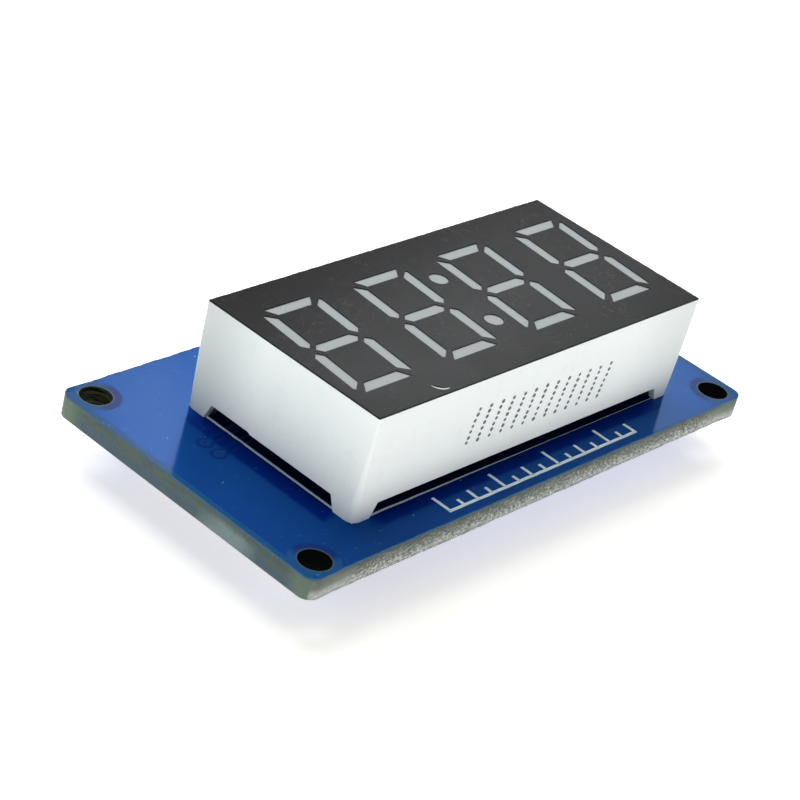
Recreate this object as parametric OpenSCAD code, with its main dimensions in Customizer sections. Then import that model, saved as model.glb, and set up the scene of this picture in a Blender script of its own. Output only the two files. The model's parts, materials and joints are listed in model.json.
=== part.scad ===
// Four-digit seven segment display module: a circuit board that carries an LED display on its
// front, and a driver chip, chip parts and an angled pin header on its back.
// The origin is the centre of the four mounting holes, on the board's back face.
// X runs along the display from its first digit to its last, and Z points out of its face.

/* [Circuit board] */
// Length of the board along X
board_l = 41; // [38:0.5:60]
// Width of the board along Y
board_w = 21; // [19:0.5:36]
// Thickness of the board
board_t = 1.45; // [0.8:0.05:2.4]
// Radius of the board's corners
board_corner_r = 0.8; // [0.3:0.1:3]

/* [Mounting holes] */
// Diameter of each mounting hole
hole_d = 2; // [1.6:0.1:2.6]
// Distance from a short edge to a hole's centre
hole_inset_x = 1.6; // [1.5:0.1:3]
// Distance from a long edge to a hole's centre
hole_inset_y = 1.4; // [1.4:0.1:2.5]

/* [Display housing] */
// Length of the display along X
display_l = 30.2; // [29.6:0.1:38]
// Width of the display along Y
display_w = 13.8; // [12.6:0.1:17]
// Height of the display's face above the board
display_h = 7.2; // [5.5:0.1:12]
// Offset of the display's centre from the board's centre, along X
display_x = 0.45; // [-2:0.05:2]
// Offset of the display's centre from the board's centre, along Y
display_y = -0.95; // [-1.5:0.05:0.5]
// Thickness of the housing's side walls
housing_wall = 1; // [0.6:0.1:1.2]
// Height of the housing's rim above the board, between its feet
rim_gap = 0.95; // [0.5:0.05:1.4]
// Extra height of that gap along the far half of the short sides
rim_step = 0.1; // [0.02:0.01:0.2]
// Distance of that step from the display's centre line
rim_step_y = 1.7; // [0:0.1:4]
// Length of a foot along X, where it stands on the board
foot_x = 1.5; // [1.2:0.1:3]
// Length of a foot along Y, where it stands on the board
foot_y = 1.55; // [1.2:0.05:3]
// How much longer a foot is where it meets the rim
foot_flare = 0.42; // [0.1:0.01:0.8]
// Thickness of the dark print on the face
print_t = 0.06; // [0.03:0.01:0.15]
// Bare margin between the print and the face's edges
print_inset = 0.05; // [0.01:0.01:0.3]

/* [Digits] */
// Number of digits
digits = 4; // [1:1:4]
// Distance between two digits' centres
digit_pitch = 7.6; // [6:0.1:7.8]
// Width of a digit across its upright segments
digit_w = 4.87; // [4:0.01:5.2]
// Height of a digit
digit_h = 9.14; // [7:0.01:11]
// Slant of the digits
digit_slant = 5.4; // [0:0.1:10]
// Width of each segment
stroke = 0.81; // [0.5:0.01:1]
// Length of the top and bottom segments along their outer edge
bar_l = 3.91; // [3:0.01:4.2]
// Slope of each mitred segment end: how far it runs across one segment width
mitre_run = 0.58; // [0.3:0.01:0.7]
// Length of the middle segment from point to point
middle_l = 3.52; // [2.8:0.01:3.7]
// Length of each segment's pointed end
point_l = 0.39; // [0.2:0.01:0.5]
// Distance from the digit's top or bottom to the tips of the upright segments
upright_end = 0.46; // [0.3:0.01:0.8]
// Width of the blunt tip of an upright segment
upright_blunt = 0.13; // [0.05:0.01:0.3]
// Distance from the digit's middle to the points of the upright segments
upright_waist = 0.27; // [0.2:0.01:0.5]
// Diameter of each colon dot
colon_d = 1.24; // [0.6:0.01:1.4]
// Distance of each colon dot from the digits' middle line
colon_y = 2.48; // [1.5:0.01:3.5]

/* [Inside the display] */
// Depth from the housing's rim to the surface of the epoxy
epoxy_recess = 0.4; // [0.1:0.05:0.8]
// Thickness of the epoxy under the inner board
epoxy_t = 0.65; // [0.3:0.05:1]
// Thickness of the inner board
inner_board_t = 0.8; // [0.4:0.1:1]
// Clearance between the inner board and the housing's walls
inner_board_gap = 0.3; // [0.1:0.05:0.5]
// Gap between the inner board and the floor of the light cells
cell_gap = 0.2; // [0.18:0.01:0.4]
// Side of each LED chip
die_size = 0.25; // [0.15:0.01:0.4]
// Height of each LED chip
die_h = 0.15; // [0.08:0.01:0.17]

/* [Display pins] */
// Number of pins in each of the two rows
pins_per_row = 6; // [2:1:6]
// Distance between two pins in a row
pin_pitch = 2.54; // [2:0.01:2.54]
// Distance between the two rows
pin_row_spacing = 10.16; // [9:0.01:10.16]
// Diameter of each pin
pin_d = 0.5; // [0.4:0.05:0.7]
// Length of pin that stands out of the board's back
pin_stub = 2.2; // [1.2:0.1:2.4]
// Clearance round a pin in the inner board and in the epoxy
pin_clearance = 0.02; // [0.01:0.01:0.1]
// Space round a pin in the board's hole, which the solder fills
pin_hole_gap = 0.2; // [0.1:0.01:0.3]
// Diameter of a pin's solder joint on the board
joint_d = 1.6; // [1.3:0.1:1.9]
// Height of a pin's solder joint
joint_h = 1; // [0.5:0.1:1.2]
// Clearance between solder and what it wets
solder_clearance = 0.01; // [0.005:0.005:0.03]

/* [Pin header] */
// Number of header pins
header_pins = 4; // [1:1:4]
// Distance between two header pins
header_pitch = 2.54; // [2:0.01:2.54]
// Place of the header's middle along X
header_x = 7; // [5:0.5:9]
// Distance from the display's far side to the row of header holes
header_inset = 1.45; // [1.4:0.05:2]
// Thickness of a square header pin
header_pin_t = 0.64; // [0.5:0.01:0.8]
// Clearance between a header pin and its body
header_clearance = 0.02; // [0.01:0.01:0.05]
// Clearance between a header pin's corners and its hole in the board
header_hole_gap = 0.06; // [0.04:0.01:0.15]
// Height of the header's body
header_body_h = 2.54; // [2.3:0.01:2.8]
// Depth of the header's body along Y
header_body_w = 2.5; // [2:0.1:3]
// Depth of the notches between the header's ways
header_notch = 0.45; // [0.1:0.05:0.6]
// Distance from the row of header holes to the header's body
header_leg = 1.27; // [1:0.01:1.6]
// Inner radius of the bend in a header pin
header_bend_r = 0.25; // [0.1:0.05:0.4]
// Free length of a header pin, where a socket goes on
header_reach = 5.85; // [4:0.05:8]
// Length of header pin that stands out of the board's front
header_stub = 1.2; // [1:0.1:2]
// Length of the tapered tip of a header pin
header_tip = 0.35; // [0.1:0.05:0.6]
// Diameter of a header pin's solder joint on the board
header_joint_d = 1.7; // [1.5:0.1:2.2]
// Height of a header pin's solder joint
header_joint_h = 0.85; // [0.5:0.05:1]

/* [Driver chip] */
// Length of the chip's body, along Y
chip_l = 12.8; // [12.6:0.1:13.2]
// Width of the chip's body, along X
chip_w = 7.5; // [6:0.1:7.7]
// Thickness of the chip's body
chip_h = 2.3; // [1.4:0.1:2.35]
// Height of the chip's body over the board's back
chip_standoff = 0.15; // [0.1:0.01:0.3]
// How far the body's sides lean in from their middle to their edges
chip_draft = 0.2; // [0.05:0.05:0.4]
// Space between the chip's leads and the display's solder joints
chip_gap = 0.7; // [0.3:0.1:1.2]
// Place of the chip's middle along Y
chip_y = -0.5; // [-1.5:0.1:1.5]
// Diameter of the mark at the chip's first lead
chip_mark_d = 1; // [0.5:0.1:1.5]
// Depth of that mark
chip_mark_t = 0.08; // [0.02:0.01:0.2]
// Width across the tips of the leads
lead_span = 10.3; // [9.9:0.1:10.6]
// Number of leads on each side
leads_per_side = 10; // [4:1:10]
// Distance between two leads
lead_pitch = 1.27; // [1:0.01:1.27]
// Width of a lead
lead_w = 0.42; // [0.3:0.01:0.6]
// Thickness of a lead
lead_t = 0.25; // [0.15:0.01:0.3]
// Length of a lead's foot on its pad
lead_foot = 0.8; // [0.5:0.05:1]
// Length of a lead's shoulder beside the body
lead_shoulder = 0.3; // [0.2:0.01:0.4]
// Clearance between the leads and the body
lead_clearance = 0.01; // [0.005:0.005:0.03]

/* [Chip parts] */
// Number of chip capacitors
capacitors = 4; // [1:1:4]
// Number of chip resistors
resistors = 2; // [1:1:2]
// Length of a chip part, along X
chip_part_l = 1.6; // [1:0.1:2]
// Width of a chip part
chip_part_w = 0.8; // [0.5:0.1:1.25]
// Height of a capacitor
capacitor_h = 0.8; // [0.5:0.05:1.2]
// Height of a resistor
resistor_h = 0.45; // [0.3:0.05:0.6]
// Length of each metal end
end_l = 0.3; // [0.2:0.05:0.45]
// Place of the first chip part along X, from the last display pin
chip_parts_x = 4.4; // [3.6:0.1:5]
// Place of the first chip part along Y
chip_parts_y = -5.5; // [-6.5:0.1:-4]
// Distance between chip parts along X
chip_parts_dx = 4; // [3:0.1:4.2]
// Distance between chip parts along Y
chip_parts_dy = 3; // [2:0.1:3.5]
// Height of the pads and solder under leads and chip parts
pad_h = 0.05; // [0.02:0.01:0.1]

/* [Hidden] */
$fn = 48;
JOINT_STEPS = 5;
JOINT_POWER = 2.2;
JOINT_LIP = 0.06;
BEND_STEPS = 6;
OVER = 1;

hole_x = board_l / 2 - hole_inset_x;
hole_y = board_w / 2 - hole_inset_y;

housing_h = display_h - print_t;
pocket_l = display_l - 2 * housing_wall;
pocket_w = display_w - 2 * housing_wall;
epoxy_z = rim_gap + epoxy_recess;
inner_board_z = epoxy_z + epoxy_t;
die_z = inner_board_z + inner_board_t;
cell_z = die_z + cell_gap;
inner_board_l = pocket_l - 2 * inner_board_gap;
inner_board_w = pocket_w - 2 * inner_board_gap;

pin_hole_d = pin_d + 2 * pin_hole_gap;
pin_row_l = (pins_per_row - 1) * pin_pitch;

header_y = display_y + display_w / 2 + header_inset;
header_z = -header_body_h / 2;
header_hole_d = header_pin_t * sqrt(2) + 2 * header_hole_gap;

chip_x = display_x - pin_row_l / 2 - joint_d / 2 - chip_gap - lead_span / 2;
lead_z = -chip_standoff - chip_h / 2;

capacitor_numbers = [for (i = [0:capacitors - 1]) i];
resistor_numbers = [for (i = [0:resistors - 1]) capacitors + i];

// ---- places of what repeats ----

function pin_place(i) = [
    display_x + (i % pins_per_row) * pin_pitch - pin_row_l / 2,
    display_y + (i < pins_per_row ? -1 : 1) * pin_row_spacing / 2];

function header_place(i) = [header_x + (i - (header_pins - 1) / 2) * header_pitch, header_y];

function chip_part_place(i) = [
    display_x + pin_row_l / 2 + chip_parts_x + (i % 2) * chip_parts_dx,
    chip_parts_y + floor(i / 2) * chip_parts_dy];

// ---- the digits' outlines, about the display's centre ----

function slanted(points) = [for (p = points) [p[0] + p[1] * tan(digit_slant), p[1]]];

// The top segment for side = 1, and the bottom one for side = -1
function bar_outline(side) = [
    [-bar_l / 2, side * digit_h / 2],
    [bar_l / 2, side * digit_h / 2],
    [bar_l / 2 - mitre_run, side * (digit_h / 2 - stroke)],
    [-bar_l / 2 + mitre_run, side * (digit_h / 2 - stroke)]];

function middle_outline() = [
    [-middle_l / 2, 0],
    [-middle_l / 2 + point_l, stroke / 2],
    [middle_l / 2 - point_l, stroke / 2],
    [middle_l / 2, 0],
    [middle_l / 2 - point_l, -stroke / 2],
    [-middle_l / 2 + point_l, -stroke / 2]];

// The upright segment on the right for hand = 1, and in the upper half for side = 1
function upright_outline(hand, side) = let (
    outer = digit_w / 2,
    inner = digit_w / 2 - stroke,
    tip = digit_h / 2 - upright_end) [
    [hand * inner, side * (tip - mitre_run)],
    [hand * (outer - upright_blunt), side * tip],
    [hand * outer, side * (tip - upright_blunt)],
    [hand * outer, side * (upright_waist + point_l)],
    [hand * (outer - stroke / 2), side * upright_waist],
    [hand * inner, side * (upright_waist + point_l)]];

// The middle of each segment, where its LED chip sits
segment_middles = concat(
    [for (side = [-1:1]) [0, side * (digit_h - stroke) / 2]],
    [for (hand = [-1, 1], side = [-1, 1]) [hand * (digit_w - stroke) / 2, side * digit_h / 4]]);

digit_places = [for (i = [0:digits - 1]) (i - (digits - 1) / 2) * digit_pitch];
colon_places = slanted([[0, colon_y], [0, -colon_y]]);
die_places = concat(
    [for (x = digit_places, p = slanted(segment_middles)) [x + p[0], p[1]]],
    colon_places);

module light_cells() {
    for (x = digit_places) translate([x, 0]) {
        for (side = [-1, 1]) polygon(slanted(bar_outline(side)));
        polygon(slanted(middle_outline()));
        for (hand = [-1, 1], side = [-1, 1]) polygon(slanted(upright_outline(hand, side)));
    }
    for (p = colon_places) translate(p) circle(d = colon_d);
}

// ---- shapes that repeat ----

module block(l, w, z0, z1) {
    translate([-l / 2, -w / 2, z0]) cube([l, w, z1 - z0]);
}

module rounded_plate(l, w, t, r) {
    block(l - 2 * r, w, 0, t);
    block(l, w - 2 * r, 0, t);
    for (x = [-1, 1], y = [-1, 1])
        translate([x * (l / 2 - r), y * (w / 2 - r), 0]) cylinder(h = t, r = r);
}

module on_display() {
    translate([display_x, display_y, board_t]) children();
}

// Solder round a pin: it fills the hole through the board and rises in a hollow cone at z = 0
module solder_joint(inner_r, hole_r, foot_r, height) {
    lip_r = inner_r + JOINT_LIP;
    rotate_extrude() polygon(concat(
        [[inner_r, -board_t], [hole_r, -board_t], [hole_r, 0]],
        [for (i = [0:JOINT_STEPS]) let (s = i / JOINT_STEPS)
            [lip_r + (foot_r - lip_r) * pow(1 - s, JOINT_POWER), height * s]],
        [[inner_r, height]]));
}

// One gull-wing lead on the chip's +X side, about the chip's centre
module chip_lead() {
    body_x = chip_w / 2 + lead_clearance;
    knee_x = body_x + lead_shoulder;
    heel_x = lead_span / 2 - lead_foot;
    rotate([90, 0, 0]) linear_extrude(lead_w, center = true) polygon([
        [body_x, lead_z + lead_t / 2],
        [knee_x, lead_z + lead_t / 2],
        [heel_x, -pad_h],
        [lead_span / 2, -pad_h],
        [lead_span / 2, -pad_h - lead_t],
        [heel_x + lead_t, -pad_h - lead_t],
        [knee_x + lead_t, lead_z - lead_t / 2],
        [body_x, lead_z - lead_t / 2]]);
}

module chip_part_body(i, height, colour) {
    color(colour) translate(chip_part_place(i))
        block(chip_part_l - 2 * end_l, chip_part_w, -pad_h - height, -pad_h);
}

// ---- the pieces ----

module circuit_board() {
    color("royalblue") difference() {
        rounded_plate(board_l, board_w, board_t, board_corner_r);
        for (x = [-hole_x, hole_x], y = [-hole_y, hole_y])
            translate([x, y, -OVER]) cylinder(h = board_t + 2 * OVER, d = hole_d);
        for (i = [0:2 * pins_per_row - 1])
            translate(pin_place(i)) translate([0, 0, -OVER])
                cylinder(h = board_t + 2 * OVER, d = pin_hole_d);
        for (i = [0:header_pins - 1])
            translate(header_place(i)) translate([0, 0, -OVER])
                cylinder(h = board_t + 2 * OVER, d = header_hole_d);
    }
}

// The gap under the long sides' rims, seen along Y
module long_side_gap() {
    outer = display_l / 2 - foot_x;
    rotate([90, 0, 0]) linear_extrude(display_w + 2 * OVER, center = true) polygon([
        [-outer, -OVER],
        [-outer, 0],
        [-outer + foot_flare, rim_gap],
        [outer - foot_flare, rim_gap],
        [outer, 0],
        [outer, -OVER]]);
}

// The gap under the short sides' rims, seen along X, with its small step
module short_side_gap() {
    outer = display_w / 2 - foot_y;
    rotate([90, 0, 90]) linear_extrude(display_l + 2 * OVER, center = true) polygon([
        [-outer, -OVER],
        [-outer, 0],
        [-outer + foot_flare, rim_gap],
        [rim_step_y, rim_gap],
        [rim_step_y + 2 * rim_step, rim_gap + rim_step],
        [outer - foot_flare, rim_gap + rim_step],
        [outer, 0],
        [outer, -OVER]]);
}

module display_housing() {
    color("whitesmoke") on_display() difference() {
        block(display_l, display_w, 0, housing_h);
        long_side_gap();
        short_side_gap();
        block(pocket_l, pocket_w, -OVER, cell_z);
        translate([0, 0, cell_z - OVER]) linear_extrude(housing_h - cell_z + 2 * OVER) light_cells();
    }
}

module face_print() {
    color("dimgray") on_display() translate([0, 0, housing_h]) linear_extrude(print_t) difference() {
        square([display_l - 2 * print_inset, display_w - 2 * print_inset], center = true);
        light_cells();
    }
}

module epoxy_fill() {
    color("lightgray") difference() {
        on_display() {
            block(pocket_l, pocket_w, epoxy_z, cell_z);
            translate([0, 0, die_z + cell_gap / 2])
                linear_extrude(housing_h - die_z - cell_gap / 2) light_cells();
        }
        on_display() block(inner_board_l, inner_board_w, inner_board_z, die_z);
        on_display() for (p = die_places)
            translate(p) block(die_size, die_size, die_z - cell_gap, die_z + die_h);
        for (i = [0:2 * pins_per_row - 1]) translate(pin_place(i))
            cylinder(h = board_t + inner_board_z + cell_gap, d = pin_d + 2 * pin_clearance);
    }
}

module display_inner_board() {
    color("darkkhaki") difference() {
        on_display() block(inner_board_l, inner_board_w, inner_board_z, die_z);
        for (i = [0:2 * pins_per_row - 1]) translate(pin_place(i))
            cylinder(h = board_t + die_z + OVER, d = pin_d + 2 * pin_clearance);
    }
}

module led_chips() {
    color("khaki") on_display() for (p = die_places)
        translate(p) block(die_size, die_size, die_z, die_z + die_h);
}

module display_pin(i) {
    color("silver") translate(pin_place(i)) translate([0, 0, -pin_stub])
        cylinder(h = pin_stub + board_t + die_z, d = pin_d);
}

module display_solder_joints() {
    color("gainsboro") for (i = [0:2 * pins_per_row - 1]) translate(pin_place(i)) mirror([0, 0, 1])
        solder_joint(pin_d / 2 + solder_clearance, pin_hole_d / 2 - solder_clearance,
            joint_d / 2, joint_h);
}

module header_body() {
    half = header_body_h / 2;
    way = header_pitch / 2;
    body_y = header_y + header_leg + header_body_w / 2;
    color("black") difference() {
        for (i = [0:header_pins - 1])
            translate([header_place(i)[0], body_y, header_z]) rotate([90, 0, 0])
                linear_extrude(header_body_w, center = true) polygon([
                    [-way, half - header_notch], [header_notch - way, half],
                    [way - header_notch, half], [way, half - header_notch],
                    [way, header_notch - half], [way - header_notch, -half],
                    [header_notch - way, -half], [-way, header_notch - half]]);
        for (i = [0:header_pins - 1]) translate([header_place(i)[0], body_y, 0])
            block(header_pin_t + 2 * header_clearance, header_body_w + 2 * OVER,
                header_z - header_pin_t / 2 - header_clearance,
                header_z + header_pin_t / 2 + header_clearance);
    }
}

// Points along an arc from one angle to another
function arc(centre, r, from, to) = [for (i = [0:BEND_STEPS])
    let (a = from + (to - from) * i / BEND_STEPS) centre + r * [cos(a), sin(a)]];

// A pin's side view, in Y and Z: up through the board, round the bend and out along Y
module header_pin_side() {
    t = header_pin_t;
    bend = [t / 2 + header_bend_r, header_z + t / 2 + header_bend_r];
    reach = header_leg + header_body_w + header_reach;
    top = board_t + header_stub;
    polygon(concat(
        [[-t / 2, top - header_tip], [-t / 4, top], [t / 4, top], [t / 2, top - header_tip]],
        arc(bend, header_bend_r, 180, 270),
        [[reach - header_tip, header_z + t / 2], [reach, header_z + t / 4],
            [reach, header_z - t / 4], [reach - header_tip, header_z - t / 2]],
        arc(bend, header_bend_r + t, 270, 180)));
}

// A pin's plan view, which tapers its free tip from the other two sides
module header_pin_plan() {
    t = header_pin_t;
    reach = header_leg + header_body_w + header_reach;
    polygon([
        [-t / 2, -t], [t / 2, -t], [t / 2, reach - header_tip],
        [t / 4, reach], [-t / 4, reach], [-t / 2, reach - header_tip]]);
}

module header_pin(i) {
    depth = header_body_h + board_t + header_stub;
    color("goldenrod") translate(header_place(i)) intersection() {
        rotate([90, 0, 90]) linear_extrude(2 * header_pin_t, center = true) header_pin_side();
        translate([0, 0, -header_body_h]) linear_extrude(depth + OVER) header_pin_plan();
    }
}

module header_solder_joints() {
    hollow = header_pin_t + 2 * solder_clearance;
    color("gainsboro") for (i = [0:header_pins - 1]) translate(header_place(i))
        translate([0, 0, board_t]) difference() {
            solder_joint(header_pin_t / 4, header_hole_d / 2 - solder_clearance,
                header_joint_d / 2, header_joint_h);
            block(hollow, hollow, -board_t - OVER, header_joint_h + OVER);
        }
}

// The chip's body, seen along one of its horizontal axes
module chip_section(width) {
    polygon([
        [-width / 2 + chip_draft, -chip_standoff], [width / 2 - chip_draft, -chip_standoff],
        [width / 2, lead_z],
        [width / 2 - chip_draft, -chip_standoff - chip_h],
        [-width / 2 + chip_draft, -chip_standoff - chip_h],
        [-width / 2, lead_z]]);
}

module driver_chip() {
    mark_x = chip_w / 2 - chip_draft - chip_mark_d;
    mark_y = chip_l / 2 - chip_draft - chip_mark_d;
    color("dimgray") translate([chip_x, chip_y]) difference() {
        intersection() {
            rotate([90, 0, 0]) linear_extrude(chip_l, center = true) chip_section(chip_w);
            rotate([90, 0, 90]) linear_extrude(chip_w, center = true) chip_section(chip_l);
        }
        translate([mark_x, mark_y, -chip_standoff - chip_h - OVER])
            cylinder(h = OVER + chip_mark_t, d = chip_mark_d);
    }
}

module driver_chip_leads() {
    color("silver") translate([chip_x, chip_y]) for (side = [0, 180], i = [0:leads_per_side - 1])
        rotate([0, 0, side]) translate([0, (i - (leads_per_side - 1) / 2) * lead_pitch, 0]) chip_lead();
}

module capacitor(i) {
    chip_part_body(i, capacitor_h, "tan");
}

module resistor(i) {
    chip_part_body(i, resistor_h, "darkslategray");
}

module chip_part_ends() {
    end_x = (chip_part_l - end_l) / 2;
    color("silver") for (i = concat(capacitor_numbers, resistor_numbers), side = [-1, 1])
        translate(chip_part_place(i)) translate([side * end_x, 0])
            block(end_l, chip_part_w, -pad_h - (i < capacitors ? capacitor_h : resistor_h), -pad_h);
}

circuit_board();
display_housing();
face_print();
epoxy_fill();
display_inner_board();
led_chips();
for (i = [1:2 * pins_per_row])
    display_pin(i - 1);
display_solder_joints();
header_body();
for (i = [1:header_pins])
    header_pin(i - 1);
header_solder_joints();
driver_chip();
driver_chip_leads();
for (i = capacitor_numbers)
    capacitor(i);
for (i = [1:resistors])
    resistor(resistor_numbers[i - 1]);
chip_part_ends();
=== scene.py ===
import json
import math
import random

import bmesh
import bpy
from mathutils import Matrix, Quaternion, Vector, noise


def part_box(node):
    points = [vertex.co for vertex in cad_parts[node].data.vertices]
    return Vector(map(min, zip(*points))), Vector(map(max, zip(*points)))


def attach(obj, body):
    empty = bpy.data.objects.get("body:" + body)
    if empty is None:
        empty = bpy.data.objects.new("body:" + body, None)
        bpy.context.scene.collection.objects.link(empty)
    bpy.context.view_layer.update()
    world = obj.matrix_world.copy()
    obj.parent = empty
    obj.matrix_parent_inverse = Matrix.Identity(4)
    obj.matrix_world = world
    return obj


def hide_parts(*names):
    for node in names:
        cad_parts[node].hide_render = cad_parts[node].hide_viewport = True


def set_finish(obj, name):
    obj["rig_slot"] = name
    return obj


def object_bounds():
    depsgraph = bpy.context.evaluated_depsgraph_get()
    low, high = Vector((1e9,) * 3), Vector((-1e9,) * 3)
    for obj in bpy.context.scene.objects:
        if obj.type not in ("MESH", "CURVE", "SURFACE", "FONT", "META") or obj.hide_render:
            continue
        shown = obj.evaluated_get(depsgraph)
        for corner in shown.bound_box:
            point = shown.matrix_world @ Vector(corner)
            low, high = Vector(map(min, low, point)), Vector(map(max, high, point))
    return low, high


# A four-digit seven segment display module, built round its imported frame.
# Lengths are in millimetres until a piece is finished, and then in metres as the frame is.

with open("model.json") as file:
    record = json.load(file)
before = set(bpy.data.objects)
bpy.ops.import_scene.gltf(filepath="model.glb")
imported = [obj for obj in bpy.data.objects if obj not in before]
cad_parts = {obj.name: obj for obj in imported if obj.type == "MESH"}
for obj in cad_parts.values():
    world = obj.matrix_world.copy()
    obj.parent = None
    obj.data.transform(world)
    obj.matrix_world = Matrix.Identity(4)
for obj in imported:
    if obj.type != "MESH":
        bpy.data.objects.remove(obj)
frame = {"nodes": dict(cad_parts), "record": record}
CAD_LOW, CAD_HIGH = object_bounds()
MM = 0.001
X, Y, Z = range(3)


def box_mm(node):
    """Lowest and highest corner of a CAD node, in millimetres."""
    return [Vector(corner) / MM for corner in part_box(node)]


def nodes_named(*starts):
    """The CAD nodes whose names start so, in the record's order."""
    return [s["node"] for s in frame["record"]["subparts"] if s["node"].startswith(starts)]


def pin_places(prefix):
    """The middle of each pin, as (x, y)."""
    boxes = [box_mm(name) for name in nodes_named(prefix)]
    return [((low.x + high.x) / 2, low.y + (high.x - low.x) / 2) for low, high in boxes]


BOARD_LOW, BOARD_HIGH = box_mm("circuit_board")
HOUSING_LOW, HOUSING_HIGH = box_mm("display_housing")
PRINT_LOW, PRINT_HIGH = box_mm("face_print")
BOARD_TOP = BOARD_HIGH.z
HOUSING_MIDDLE = (HOUSING_LOW + HOUSING_HIGH) / 2
HOUSING_HALF = (HOUSING_HIGH - HOUSING_LOW) / 2
PINS = pin_places("display_pin_")
HEADER_PINS = pin_places("header_pin_")
HOLE_DIMS = frame["record"]["mounts"][0]["dims"]
HOLE_X, HOLE_Y = HOLE_DIMS["spacing_x_mm"] / 2, HOLE_DIMS["spacing_y_mm"] / 2
HOLE_R = 1.0


def add_object(name, data):
    made = bpy.data.objects.new(name, data)
    bpy.context.scene.collection.objects.link(made)
    return made


def feed(tree, socket, value):
    """Links a socket to another, or sets it."""
    if isinstance(value, bpy.types.NodeSocket):
        tree.links.new(value, socket)
    elif isinstance(value, (tuple, list)) and socket.type == "RGBA":
        socket.default_value = (*value, 1)
    else:
        socket.default_value = value


def new_node(tree, kind, inputs, **settings):
    """A node with its settings and its inputs, by name or number. Returns its outputs."""
    node = tree.nodes.new("ShaderNode" + kind)
    for name, value in settings.items():
        setattr(node, name, value)
    for key, value in inputs.items():
        feed(tree, node.inputs[key], value)
    return node.outputs


# ---- camera ----

CAMERA_PLACE = Vector((-110.166, -75.675, 78.117))
CAMERA_FORWARD = Vector((0.708502, 0.496085, -0.501921)).normalized()
CAMERA_UP = Vector((0.246534, 0.492428, 0.834707))
CAMERA_LENS = 112.57
CAMERA_SENSOR = 36
CAMERA_NEAR, CAMERA_FAR = 0.01, 20


def make_camera():
    data = bpy.data.cameras.new("camera")
    data.lens = CAMERA_LENS
    data.sensor_width = CAMERA_SENSOR
    data.clip_start, data.clip_end = CAMERA_NEAR, CAMERA_FAR
    camera = add_object("camera", data)
    right = CAMERA_FORWARD.cross(CAMERA_UP).normalized()
    up = right.cross(CAMERA_FORWARD)
    turn = Matrix((right, up, -CAMERA_FORWARD)).transposed()
    camera.matrix_world = Matrix.Translation(CAMERA_PLACE * MM) @ turn.to_4x4()
    bpy.context.scene.camera = camera


# ---- light and floor ----

WHITE = (1, 1, 1)
AMBIENT = 0.2
BACKGROUND = 1.0
FLOOR_SIZE = 3.0
FLOOR_WHITE = 0.92
FLOOR_GLOW = 0.5
FLOOR_BOUNCE = 1.05
FLOOR_TINT = (1.13, 1.09, 1.0)  # keeps the shadow under a blue board neutral

# name: place and size in metres, power in watts, colour, turn about its own line in radians
LAMPS = {
    "key_softbox": ((0.29, 0.68, 0.95), (1.0, 1.0), 11.5, (1.0, 1.0, 1.0), 0.0),
    "front_softbox": ((0.1, -0.8, 0.3), (0.4, 0.4), 1.0, (1.0, 1.0, 1.0), 0.0),
    "left_softbox": ((-0.75, 0.0, 0.3), (0.4, 0.4), 1.4, (0.94, 1.0, 0.97), 0.0),
    "rear_softbox": ((1.422, 0.962, 1.025), (0.5, 0.27), 2.25, (0.97, 0.99, 1.0), 0.63),
    "rear_strip": ((1.41, 1.008, 0.998), (0.233, 0.08), 0.41, (0.97, 0.99, 1.0), 0.6),
}


def make_lamp(name, place, size, power, colour, roll):
    data = bpy.data.lights.new(name, "AREA")
    data.shape = "RECTANGLE"
    data.size, data.size_y = size
    data.energy = power
    data.color = colour
    light = add_object(name, data)
    light.location = place
    light.rotation_mode = "QUATERNION"
    light.rotation_quaternion = Vector(place).to_track_quat("Z", "Y") @ Quaternion((0, 0, 1), roll)


def shown_rays(tree):
    """1 for the rays that show the background: to the camera, off gloss and through glass."""
    rays = new_node(tree, "LightPath", {})
    seen = new_node(tree, "Math", {0: rays["Is Camera Ray"], 1: rays["Is Glossy Ray"]}, operation="ADD")[0]
    glass = rays["Is Transmission Ray"]
    return new_node(tree, "Math", {0: seen, 1: glass}, operation="ADD", use_clamp=True)[0]


def make_world():
    world = bpy.data.worlds.new("studio")
    world.use_nodes = True
    bpy.context.scene.world = world
    tree = world.node_tree
    tree.nodes.clear()
    dim = new_node(tree, "Background", {"Color": WHITE, "Strength": AMBIENT})[0]
    bright = new_node(tree, "Background", {"Color": WHITE, "Strength": BACKGROUND})[0]
    light = new_node(tree, "MixShader", {0: shown_rays(tree), 1: dim, 2: bright})[0]
    new_node(tree, "OutputWorld", {"Surface": light})


def make_floor():
    bm = bmesh.new()
    bmesh.ops.create_grid(bm, x_segments=1, y_segments=1, size=FLOOR_SIZE / 2)
    bmesh.ops.translate(bm, verts=bm.verts, vec=(0, 0, CAD_LOW.z))
    mesh = bpy.data.meshes.new("floor")
    bm.to_mesh(mesh)
    bm.free()
    paint = bpy.data.materials.new("floor_white")
    paint.use_nodes = True
    tree = paint.node_tree
    tree.nodes.clear()
    shown = shown_rays(tree)
    tint = new_node(tree, "Mix", {0: shown, 6: WHITE, 7: FLOOR_TINT}, data_type="RGBA")[2]
    strength = new_node(tree, "MapRange", {0: shown, "To Min": FLOOR_BOUNCE, "To Max": FLOOR_GLOW})[0]
    matt = new_node(tree, "BsdfDiffuse", {"Color": (FLOOR_WHITE,) * 3})[0]
    glow = new_node(tree, "Emission", {"Color": tint, "Strength": strength})[0]
    surface = new_node(tree, "AddShader", {0: matt, 1: glow})[0]
    new_node(tree, "OutputMaterial", {"Surface": surface})
    mesh.materials.append(paint)
    add_object("floor", mesh)


make_camera()
make_world()
for lamp_name, lamp_setting in LAMPS.items():
    make_lamp(lamp_name, *lamp_setting)
make_floor()
bpy.context.scene.view_settings.view_transform = "Standard"

# ---- finishes ----


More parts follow.
